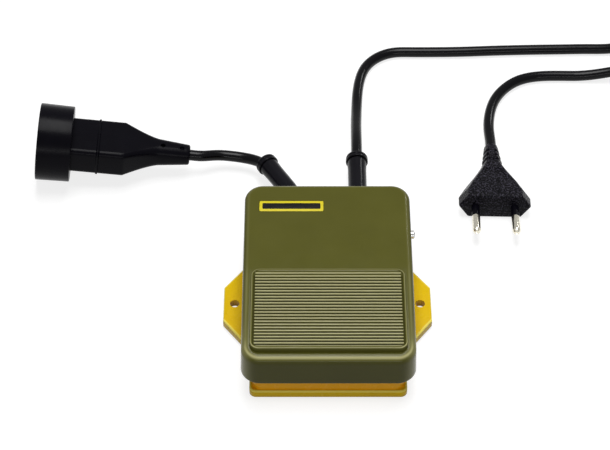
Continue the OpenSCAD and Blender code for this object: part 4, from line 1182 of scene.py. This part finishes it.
@dataclass
class Coupler:
    """The coupler socket: a round collar, a blocky body in two shells and a tapered tail.

    Distances along it count from its open face.

    Attributes:
        collar_r, collar_len, taper: the collar's radius and length, and how far it narrows.
        recess_r, recess, plate_t: the recess's radius and depth, and its plate's thickness.
        body: width and height of the body.
        joint, neck, tail_x: where the shells meet, the body draws in and the tail starts.
        length: length of the whole coupler.
        tail_d: thickness of the tail at its start and its end.
        spacing, contact_id: distance between the contacts, and their bore.
        dimples: distances of the dimples from the tail's end.
    """

    collar_r: float = 18.85
    collar_len: float = 16.5
    taper: float = 0.35
    recess_r: float = 17.85
    recess: float = 9.5
    plate_t: float = 2.5
    body: tuple[float, float] = (25.4, 14.6)
    joint: float = 30.0
    neck: float = 42.0
    tail_x: float = 59.5
    length: float = 74.5
    tail_d: tuple[float, float] = (11.9, 9.7)
    spacing: float = 19.0
    contact_id: float = 4.2
    dimples: tuple[float, ...] = (4.1, 13.5)

    def place(self, grid: Array) -> Array:
        """Moves points from the coupler's own axes, open face at the origin, to its place."""
        moved = turned(grid - [self.length, 0.0, 0.0], COUPLER_LEAN, "Y")
        return moved + np.array(COUPLER_TAIL)

    def lathe_x(self, mould: Mould, profile: Array, y: float, sides: int) -> None:
        """Adds a closed profile of (x, radius) pairs turned about the coupler's long axis."""
        along, across, up = spun(profile, sides)
        mould.rings(self.place(np.stack([along, y + across, up], -1)), Ends.JOINED)

    def section(self, x: float, w: float, h: float, r: float) -> Array:
        """Returns a ring of the body at x: a rectangle with round corners."""
        line = rounded(w, h, r, 10)
        return np.stack([np.full(len(line), x), line[:, 0], line[:, 1]], -1)

    def front(self) -> Object:
        """Makes the front shell: the collar and recess turned as one closed profile, and the
        body's front half, which starts inside the collar and ends in a raised rim."""
        mould = Mould("coupler_shell_front", 34.0)
        out, back = self.collar_r, self.collar_len
        bottom = self.recess + self.plate_t
        profile = fillet([(0, self.recess_r), (0, out), (back, out - self.taper), (back, 0.01),
                          (bottom, 0.01), (bottom, self.recess_r)],
                         [0.35, 0.4, 0.4, 0, 0, 0.3], 7, closed=True)
        self.lathe_x(mould, profile, 0.0, 96)
        w, h = self.body
        ridge = [(self.collar_len - 1.5, 0.0), (self.joint - 1.25, 0.0), (self.joint - 1.1, 0.25),
                 (self.joint - 0.9, 0.5), (self.joint - 0.5, 0.62), (self.joint - 0.12, 0.5),
                 (self.joint, 0.3)]
        mould.rings(self.place(np.stack([self.section(x, w + 2 * g * 0.8, h + 2 * g * 0.8,
                                                      2.6 + g * 0.5) for x, g in ridge])))
        return seat(mould.cast(), COUPLER_BLACK, "base", ["coupler_front"])

    def rear(self) -> Object:
        """Makes the rear shell: straight to its neck, then drawn in to a round tail by a power
        curve, with a rounded end and two round dimples on top."""
        w, h = self.body
        d0, d1 = self.tail_d
        rows = [self.section(self.joint, w - 0.5, h - 0.5, 2.4),
                self.section(self.joint + 0.08, w - 0.2, h - 0.2, 2.5),
                self.section(self.joint + 0.3, w, h, 2.6)]
        rows += [self.section(x, w, h, 2.6) for x in np.linspace(self.joint + 1, self.neck, 10)]
        for t in np.linspace(0, 1, 26)[1:]:
            e = 1 - (1 - t) ** 1.5
            e = e - 0.12 * t * (1 - t) ** 3
            rows.append(self.section(self.neck + (self.tail_x - self.neck) * t,
                                     w + (d0 - w) * e, h + (d0 - h) * e, 2.6 + 2.1 * t * t))
        for t in np.linspace(0, 1, 12)[1:]:
            d = d0 + (d1 - d0) * t
            rows.append(self.section(self.tail_x + (self.length - 1 - self.tail_x) * t, d, d,
                                     4.7 - 0.2 * t))
        for a in np.radians([30, 50, 70, 90]):
            d = d1 - 2 * (1 - math.cos(a))
            rows.append(self.section(self.length - 1 + math.sin(a), d, d, 0.46 * d))
        mould = Mould("coupler_shell_rear", 34.0)
        mould.rings(self.place(np.stack(rows)))
        shell = mould.cast()
        for x in self.dimples:
            cutter = Mould("dimple")
            a = np.linspace(0, 2 * np.pi, 28, endpoint=False)
            base = self.length - x
            rings = [np.stack([base + r * np.cos(a), -1.0 + r * np.sin(a), np.full_like(a, z)],
                              -1) for r, z in ((1.05, d1 / 2 - 0.75), (1.25, d1 / 2 - 0.4),
                                               (1.3, d0))]
            cutter.rings(self.place(np.stack(rings)))
            carve(shell, cutter.cast())
        smoothed(shell.data, 34)
        return seat(shell, COUPLER_BLACK, "base", ["coupler_rear"])

    def face(self) -> Object:
        """Makes the face plate at the bottom of the recess, with two countersunk holes."""
        mould = Mould("coupler_face", 30.0)
        r = self.recess_r - 0.05
        profile = fillet([(self.recess, 0.01), (self.recess, r), (self.recess + self.plate_t, r),
                          (self.recess + self.plate_t, 0.01)], [0, 0.4, 0, 0], 6, closed=True)
        self.lathe_x(mould, profile, 0.0, 72)
        plate = mould.cast()
        for side in (-1, 1):
            cutter = Mould("hole")
            hole = self.contact_id / 2 + 0.3
            profile = np.array([(self.recess - 1, 0.0), (self.recess - 1, hole + 1.3),
                                (self.recess + 0.6, hole), (self.recess + self.plate_t + 1, hole),
                                (self.recess + self.plate_t + 1, 0.0)])
            self.lathe_x(cutter, profile, side * self.spacing / 2, 40)
            carve(plate, cutter.cast())
        return seat(plate, PLATE_GREY, "base", ["coupler_plate"])

    def build(self) -> None:
        """Builds the coupler."""
        self.front()
        self.rear()
        self.face()
        dress(BRASS, "coupler_contacts")


# ---------------------------------------------------------------- pedal


@dataclass
class Pedal:
    """The hinged cover with its ribbed tread, its bare name plate and its inner fittings.

    Attributes:
        width, length, corner, edge: size in plan, and radii of the corners and upper edge.
        wall, draft: thickness of the wall, and how far it leans in.
        hem, hem_edge: height of the lower edge, and the radius of its outer side.
        crown: height at the fold.
        heel_slope, toe_slope: rise towards the heel, behind the fold and before it.
        fold_y, fold_run: place of the fold, and how softly it turns.
        tread, tread_r, tread_rise: the tread's size, its corners and its step at the fold.
        border, bead: plain border of the grooves, and widths of the side bead and its moat.
        groove_n, pitch, groove_depth: number, spacing and depth of the grooves.
        label, label_at, label_depth: the name plate's size and place, and its field's depth.
        lug_r: radius of the hinge bosses.
        tray_w, tray_l: size of the tray in plan.
        notch_r: radius of the hem's arch over a sleeve.
        pad_y, pad_top: place of the push pad and height of its lower face.
    """

    width: float = 78.0
    length: float = 104.0
    corner: float = 9.0
    edge: float = 3.2
    wall: float = 2.0
    draft: float = 0.4
    hem: float = 13.0
    crown: float = 32.8
    heel_slope: float = 0.04
    toe_slope: float = 0.09
    fold_y: float = -1.0
    fold_run: float = 1.6
    tread: tuple[float, float] = (69.6, 46.0)
    tread_r: float = 4.0
    tread_rise: float = 0.3
    border: float = 1.1
    bead: tuple[float, float] = (1.15, 0.7)
    groove_n: int = 25
    pitch: float = 1.74
    groove_depth: float = 0.6
    label: tuple[float, float] = (30.0, 6.6)
    label_at: tuple[float, float] = (-16.7, 37.1)
    label_depth: float = 0.4
    lug_r: float = 5.2
    tray_w: float = 68.2
    tray_l: float = 96.8
    notch_r: float = 5.75
    hem_edge: float = 0.5
    pad_y: float = 17.5
    pad_top: float = 22.85

    def crown_z(self, y: Array) -> Array:
        """Returns the crown's height: two slopes that meet in a soft fold, as the heel's line
        less a softened ramp of the slopes' difference."""
        d = np.asarray(y, float) - self.fold_y
        kink = 0.5 * (d - np.sqrt(d * d + self.fold_run ** 2))
        return self.crown + self.heel_slope * d + (self.toe_slope - self.heel_slope) * kink

    def tread_z(self, y: Array) -> Array:
        """Returns the height of the tread's ribs, which carry on the heel's slope."""
        return self.crown + self.tread_rise + self.heel_slope * (np.asarray(y) - self.fold_y)

    def outline(self, inset: float) -> Array:
        """Returns the cover's plan at an inset: a rounded rectangle with close points along
        its straight sides, closer still where the leads pass under its heel."""
        w, l = self.width / 2 - inset, self.length / 2 - inset
        r = max(self.corner - inset, 1.0)
        quarter = np.radians(np.linspace(0, 90, 19))
        heel = np.linspace(1, 0, 181)[1:-1]
        toe = np.linspace(0, 1, 61)[1:-1]
        side = np.linspace(0, 1, 91)[1:-1]
        corner = np.stack([np.cos(quarter), np.sin(quarter)], -1) * r
        flip = lambda c, x, y: c[:, ::-1] * [x, y]
        parts = [corner + [w - r, l - r],
                 np.stack([(2 * heel - 1) * (w - r), np.full_like(heel, l)], -1),
                 flip(corner, -1, 1) + [r - w, l - r],
                 np.stack([np.full_like(side, -w), (1 - 2 * side) * (l - r)], -1),
                 corner * [-1, -1] + [r - w, r - l],
                 np.stack([(2 * toe - 1) * (w - r), np.full_like(toe, -l)], -1),
                 flip(corner, 1, -1) + [w - r, r - l],
                 np.stack([np.full_like(side, w), (2 * side - 1) * (l - r)], -1)]
        return np.concatenate(parts)

    def hem_z(self, plan: Array) -> Array:
        """Returns the hem's height: level, with a round arch over each bend sleeve."""
        arch = np.full(len(plan), self.hem)
        for x in (-LEAD_X, LEAD_X):
            over = self.notch_r ** 2 - (plan[:, 0] - x) ** 2
            rise = LEAD_Z + np.sqrt(np.clip(over, 0, None))
            arch = np.where((over > 0) & (plan[:, 1] > self.length / 3),
                            np.maximum(arch, rise), arch)
        return arch

    def crown_ring(self, inset: float, drop: float) -> Array:
        """Returns a ring that follows the crown at an inset and a depth below it."""
        plan = self.outline(inset)
        return np.concatenate([plan, (self.crown_z(plan[:, 1]) - drop)[:, None]], 1)

    def cap(self, inset: float, drop: float, outward: bool) -> list[Array]:
        """Returns rings from the middle line of the crown out to an inset, or back."""
        plan = self.outline(inset)
        half = (self.length - self.width) / 2
        spine = np.stack([np.zeros(len(plan)), np.clip(plan[:, 1], -half, half)], -1)
        rows = []
        for t in np.linspace(0, 1, 22)[:-1]:
            p = spine + (plan - spine) * t
            rows.append(np.concatenate([p, (self.crown_z(p[:, 1]) - drop)[:, None]], 1))
        return rows if outward else rows[::-1]

    def shell(self) -> Object:
        """Makes the cover's shell as one closed skin of rings: out over the crown, round the
        upper edge, down the drafted wall, round the hem, up inside and back to the middle."""
        rows = self.cap(self.draft + self.edge, 0.0, True)
        edge_start = len(rows)
        for a in np.radians(np.linspace(90, 0, 13)):
            rows.append(self.crown_ring(self.draft + self.edge * (1 - math.cos(a)),
                                        self.edge * (1 - math.sin(a))))
        edge_end = len(rows)
        shoulder = rows[-1]
        hem_plan = self.outline(0.0)
        hem = np.concatenate([hem_plan, self.hem_z(hem_plan)[:, None]], 1)
        for t in np.linspace(0, 1, 9)[1:]:
            rows.append(shoulder + (hem + [0, 0, self.hem_edge] - shoulder) * t)
        for a in np.radians(np.linspace(0, 90, 5))[1:]:
            plan = self.outline(self.hem_edge * (1 - math.cos(a)))
            height = self.hem_z(plan) + self.hem_edge * (1 - math.sin(a))
            rows.append(np.concatenate([plan, height[:, None]], 1))
        outer_end = len(rows) - 1
        inner_plan = self.outline(self.wall)
        low = np.concatenate([inner_plan, self.hem_z(inner_plan)[:, None]], 1)
        rows.append(low)
        inner = self.draft + self.wall
        radius = self.edge - 1.0
        lip = self.crown_ring(inner, self.wall + radius)
        for t in np.linspace(0, 1, 6)[1:-1]:
            rows.append(low + (lip - low) * t)
        for a in np.radians(np.linspace(0, 90, 7)):
            rows.append(self.crown_ring(inner + radius * (1 - math.cos(a)),
                                        self.wall + radius * (1 - math.sin(a))))
        rows += self.cap(inner + radius, self.wall, False)
        grid = np.stack(rows)
        rim, outer = slice(edge_start, edge_end), slice(edge_start, outer_end)
        # The first rows of the rim face up and are left out of the painted shade.
        unshaded_rows = 7
        # Painted highlight along the upper part of the rim's rounding, stronger towards the toe.
        wear = np.zeros(grid.shape[:2])
        y = grid[rim, :, 1]
        toe = ease((-y - self.length / 2 + 14) / 10)
        high = np.exp(-((np.linspace(0, 1, edge_end - edge_start) - 0.27) / 0.13) ** 2)[:, None]
        wear[rim] = (0.1 + 0.16 * ease((4 - y) / 12) + 0.66 * toe) * high
        x, y = grid[outer, :, 0], grid[outer, :, 1]
        front = ease((-y - self.length / 2 + self.corner) / self.corner)
        turn = ease((np.abs(x) - self.width / 2 + self.corner * 0.75) / (self.corner * 0.75))
        # Painted reflection on the wall's sides towards the toe and round the front corners.
        wear[outer] = np.maximum(wear[outer], 0.34 * turn * ease(-y / 30 - 0.6))
        # Painted shade: the front wall below the rim is darkened, less so towards its corners.
        dirt = np.zeros(grid.shape[:2])
        dirt[edge_start + unshaded_rows:outer_end] = 0.3 * (front * (1 - turn))[unshaded_rows:]
        mould = Mould("cover_shell", 50.0)
        rows_n, columns = grid.shape[:2]
        mould.add(grid, grid_faces(rows_n, columns, False, True).tolist(), wear=wear, dirt=dirt)
        return mould.cast()

    def tread_plate(self) -> Object:
        """Makes the tread as a height over a rounded rectangle.

        The height is the ribs' plane, less a rounded groove at each pitch that fades at the
        border, less a small round-over at the outline. A skirt and a floor inside the
        cover's wall close it.
        """
        w, l = self.tread
        y_mid = self.fold_y - l / 2
        edge = 0.8
        near = np.concatenate([[0, 0.05, 0.13, 0.24, 0.38, 0.55], np.linspace(0.75, 2.3, 14)])
        s = np.concatenate([near, np.linspace(2.7, w - 2.7, 40), w - near[::-1]]) / w * 2 - 1
        inner = np.linspace(near[-1], l - near[-1], int((l - 2 * near[-1]) / self.pitch * 12))
        v = np.concatenate([near, inner[1:-1], l - near[::-1]]) - l / 2
        near_end = np.clip(np.abs(v) - (l / 2 - self.tread_r), 0, self.tread_r)
        half = w / 2 - self.tread_r + np.sqrt(self.tread_r ** 2 - near_end ** 2)
        x = s[None, :] * half[:, None]
        y = np.broadcast_to((v + y_mid)[:, None], x.shape)
        inside = self.inset_depth(x, y - y_mid, w / 2, l / 2, self.tread_r)
        drop = edge - np.sqrt(np.clip(edge ** 2 - np.clip(edge - inside, 0, edge) ** 2, 0, None))
        phase = (self.fold_y - self.border - y) / self.pitch
        near_groove = np.abs(phase - np.floor(phase) - 0.5) * self.pitch
        groove = 1 - ease((near_groove - 0.12) / 0.52)
        beside = w / 2 - np.abs(x)
        bead, moat_w = self.bead
        field_ = (ease((inside - self.border) / 0.35) * ease((beside - bead - moat_w) / 0.3)
                  * ((phase > 0) & (phase < self.groove_n)))
        moat = (1 - ease((np.abs(beside - bead - moat_w / 2) - 0.12) / 0.35)) * ease(
            (inside - self.border * 0.8) / 0.4)
        groove = np.maximum(groove * field_, 0.85 * moat)
        top = self.tread_z(y) - drop - self.groove_depth * groove
        low = self.crown_z(y) - 1.0
        # Painted glints at the tread's front corners and a painted highlight along its rounded
        # edge; the rib crests are lighter for wear together with a painted highlight.
        corner = np.exp(-((beside - 2.0) ** 2 + (y - y_mid + l / 2 - 2.0) ** 2) / 5.0)
        wear = (0.9 * ease((near_groove - 0.42) / 0.3) * field_
                + (0.5 + 0.5 * corner) * (1 - ease(np.abs(inside - edge * 0.6) / 0.35)))
        # The grooves and the moat are darkened: dust in them together with painted shade.
        dirt = 0.75 * groove
        rows, columns = x.shape
        upper = np.stack([x, y, top], -1)
        lower = np.stack([x, y, low], -1)
        faces = grid_faces(rows, columns, False, False)
        mould = Mould("cover_tread", 60.0)
        mould.add(upper, faces.tolist(), wear=np.clip(wear, 0, 1), dirt=dirt)
        ring = np.concatenate([np.arange(columns), np.arange(1, rows) * columns + columns - 1,
                               (rows - 1) * columns + np.arange(columns - 1)[::-1],
                               np.arange(1, rows - 1)[::-1] * columns])
        skirt = np.stack([upper.reshape(-1, 3)[ring], lower.reshape(-1, 3)[ring]])
        mould.add(skirt, grid_faces(2, len(ring), False, True).tolist())
        mould.add(lower, faces[:, ::-1].tolist())
        return seat(mould.cast(), OLIVE, "pedal")

    @staticmethod
    def inset_depth(x: Array, y: Array, half_w: float, half_l: float, r: float) -> Array:
        """Returns how far inside a rounded rectangle each point lies."""
        qx, qy = np.abs(x) - (half_w - r), np.abs(y) - (half_l - r)
        outside = np.hypot(np.clip(qx, 0, None), np.clip(qy, 0, None))
        return r - outside - np.clip(np.maximum(qx, qy), None, 0)

    def label_ring(self, inset: float, height: float, radius: float) -> Array:
        """Returns a ring over the plate's field: the plate's outline at an inset, which
        follows the crown at a height above the field's bottom."""
        w, l = self.label
        line = rounded(w - 2 * inset, l - 2 * inset, radius, 6) + np.array(self.label_at)
        z = self.crown_z(line[:, 1]) - self.label_depth + height
        return np.concatenate([line, z[:, None]], 1)

    def name_plate(self) -> Object:
        """Makes the bare name plate: a thin rounded card that sits in its shallow field."""
        mould = Mould("name_plate", 40.0)
        mould.rings(np.stack([self.label_ring(inset, height, max(0.8 - inset, 0.3))
                              for inset, height in ((0.25, -0.02), (0.12, 0.0), (0.12, 0.36),
                                                    (0.17, 0.42), (0.3, 0.44), (1.6, 0.45))]))
        return seat(mould.cast(), LABEL_YELLOW, "pedal")

    def name_panel(self) -> Object:
        """Makes the plain dark panel printed in the middle of the name plate."""
        mould = Mould("name_panel", 40.0)
        mould.rings(np.stack([self.label_ring(inset, height, 0.5)
                              for inset, height in ((1.5, 0.42), (1.5, 0.465), (1.54, 0.47))]))
        return seat(mould.cast(), LABEL_BLACK, "pedal")

    def fittings(self) -> Object:
        """Makes what hangs inside the cover: hinge bosses, push pad, spring cup and stops."""
        mould = Mould("cover_fittings", 40.0)
        y, z = HINGE
        inner = self.width / 2 - self.draft - self.wall
        start = self.tray_w / 2 + 0.3
        bore = AXLE_D / 2 + 0.05
        for side in (-1, 1):
            profile = fillet([(side * start, bore), (side * start, self.lug_r),
                              (side * (inner + 0.6), self.lug_r), (side * (inner + 0.6), bore)],
                             [0.3, 0.4, 0, 0], 5, closed=True)
            mould.lathe(profile, (0, y, z), "X")
        top = float(self.crown_z(np.array(self.pad_y))) - 1.2
        mould.lathe(fillet([(self.pad_top, 0.01), (self.pad_top, 3.0), (top, 3.4), (top, 0.01)],
                           [0, 0.5, 0, 0], 5, closed=True), (0, self.pad_y, 0), "Z")
        ceiling = float(self.crown_z(np.array(SPRING_Y))) - self.wall
        cup = ceiling - 1.0 + 0.3
        outer, bore = (SPRING_D + 3) / 2, (SPRING_D + 0.6) / 2
        mould.lathe(fillet([(cup, 0.01), (cup, bore), (ceiling - 4.0, bore),
                            (ceiling - 4.0, outer), (ceiling + 0.8, outer),
                            (ceiling + 0.8, 0.01)], [0, 0, 0.4, 0.4, 0, 0], 5, closed=True),
                    (0, SPRING_Y, 0), "Z")
        toe_y, heel_y = -self.tray_l / 2 + 1, self.tray_l / 2 - 2
        drop = (y - toe_y) * math.sin(math.radians(TRAVEL))
        for x in (-24, 24):
            for place, low in ((toe_y, 18.3 + drop), (heel_y, 20.3)):
                top = float(self.crown_z(np.array(place))) - 1.2
                rows = []
                for inset, level in ((0.3, low), (0.0, low + 0.3), (0.0, top)):
                    line = rounded(8 - 2 * inset, 1.6 - 2 * inset, 0.3, 3)
                    rows.append(np.stack([line[:, 0] + x, line[:, 1] + place,
                                          np.full(len(line), level)], -1))
                mould.rings(np.stack(rows))
        return seat(mould.cast(), OLIVE, "pedal")

    def build(self) -> None:
        """Builds the pedal, cutting the plate's field and the axle's bore into the shell."""
        shell = self.shell()
        flat = self.label_ring(0.0, 0.0, 0.8)
        cutter = Mould("field")
        cutter.rings(np.stack([flat, flat + [0, 0, 4]]))
        carve(shell, cutter.cast())
        bore = Mould("bore")
        reach = self.width / 2 + 2
        r = AXLE_D / 2 + 0.05
        bore.lathe(np.array([(-reach, 0.001), (-reach, r), (reach, r), (reach, 0.001)]),
                   (0, *HINGE), "X", 40)
        carve(shell, bore.cast())
        smoothed(shell.data, 50)
        seat(shell, OLIVE, "pedal", ["pedal_cover"])
        self.tread_plate()
        self.name_plate()
        self.name_panel()
        self.fittings()


# ---------------------------------------------------------------- base


@dataclass
class Base:
    """The base tray, what it carries, and the axle and spring of the hinge.

    Attributes:
        spring_wire, spring_turns, spring_top: the spring's wire, its turns and its top.
        floor: height of the tray's floor, where the spring stands.
        axle_ends: where the axle ends at the left and the right.
        brim_z, brim_edge: height of the brim, and the rounding of its outer edge.
        wall: half the width and half the length of the tray.
        lip_highlight_depth: how far down from the brim its edge carries a painted highlight.
    """

    spring_wire: float = 1.2
    spring_turns: int = 7
    floor: float = 3.0
    spring_top: float = 27.1
    axle_ends: tuple[float, float] = (-38.4, 40.8)
    brim_z: float = 4.8
    brim_edge: float = 0.95
    wall: tuple[float, float] = (34.1, 48.4)
    lip_highlight_depth: float = 0.8

    def spring(self) -> Object:
        """Makes the return spring: a helix of round wire whose first and last turns lie flat,
        as a point at radius r and angle 2 pi u whose height follows an eased climb."""
        u = np.linspace(0, self.spring_turns, self.spring_turns * 40 + 1)
        r = (SPRING_D - self.spring_wire) / 2
        height = self.spring_top - self.floor - self.spring_wire
        v = np.clip((u - 1) / (self.spring_turns - 2), 0, 1)
        rise = (np.minimum(u, 1) * self.spring_wire
                + np.clip(u - self.spring_turns + 1, 0, None) * self.spring_wire
                + v * (height - 2 * self.spring_wire))
        line = np.stack([r * np.cos(2 * np.pi * u), SPRING_Y + r * np.sin(2 * np.pi * u),
                         self.floor + self.spring_wire / 2 + rise], -1)
        mould = Mould("pedal_spring", 60.0)
        mould.rings(tube(line, self.spring_wire / 2 - 0.01, 14))
        piece = seat(mould.cast(), SPRING_STEEL, "base", ["return_spring"])
        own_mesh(piece)
        return piece

    def axle_rod(self) -> Object:
        """Makes the axle: a turned rod with chamfered ends and a centre drilling in each."""
        r = AXLE_D / 2
        a, b = self.axle_ends
        profile = fillet([(a + 0.5, 0.0), (a, 0.55), (a, r - 0.5), (a + 0.5, r), (b - 0.5, r),
                          (b, r - 0.5), (b, 0.55), (b - 0.5, 0.0)],
                         [0, 0.1, 0.1, 0.15, 0.15, 0.1, 0.1, 0], 4)
        mould = Mould("hinge_rod", 30.0)
        mould.rings(np.stack(spun(profile, 40), -1) + np.array([0.0, *HINGE]))
        return seat(mould.cast(), AXLE_STEEL, "base", ["hinge_axle"])

    def build(self) -> None:
        """Builds the base and dresses what it carries."""
        tray = softened("base_tray", "tray", 0.15, 4, (self.brim_z, self.brim_edge))
        place = np.empty(3 * len(tray.data.vertices))
        tray.data.vertices.foreach_get("co", place)
        x, y, z = np.abs(place.reshape(-1, 3).T) / MM
        level, slack = self.brim_z - 0.01, 0.1
        # The tray's wall above the brim gets painted shade in orange, and the brim's outer edge
        # just below it a painted highlight.
        wall = (z > level) & (x < self.wall[0] + slack) & (y < self.wall[1] + slack)
        lip = (z < level) & (z > self.brim_z - self.lip_highlight_depth) & ~wall
        for name, where in (("dirt", wall), ("wear", lip)):
            shade = tray.data.attributes.new(name, "FLOAT", "POINT")
            shade.data.foreach_set("value", where.astype(np.float32))
        seat(tray, GOLD, "base", ["base_tray"])
        for node, name, finish, slot in (
                ("inner_lid", "lid", LID_BLACK, "lid_plastic"),
                ("base_feet", "feet", FOOT_RUBBER, "foot_rubber"),
                ("microswitch_body", "switch_case", SWITCH_BLACK, "switch_plastic"),
                ("terminal_block", "block", BLOCK_IVORY, "pale_plastic"),
                ("clamp_bars", "clamps", LID_BLACK, "lid_plastic")):
            seat(softened(node, name, 0.3), finish, "base", [node])
        dress(STEEL, "lid_screws", "microswitch_screws", "terminal_screws", "clamp_screws")
        dress(BRASS, "microswitch_terminals", "terminal_insert")
        dress(WIRE_BROWN, "brown_wires")
        dress(WIRE_BLUE, "blue_wires")
        dress(PIN_WHITE, "push_pin")
        dress(BUTTON_RED, "microswitch_button")
        self.spring()
        self.axle_rod()


def main() -> None:
    """Builds the studio and the whole foot switch, in order."""
    logging.basicConfig(level=logging.INFO, format="%(message)s")
    Studio().build()
    leads = Leads()
    free = leads.build()
    Plug().build()
    Coupler().build()
    Base().build()
    Pedal().build()


if __name__ == "__main__":
    main()
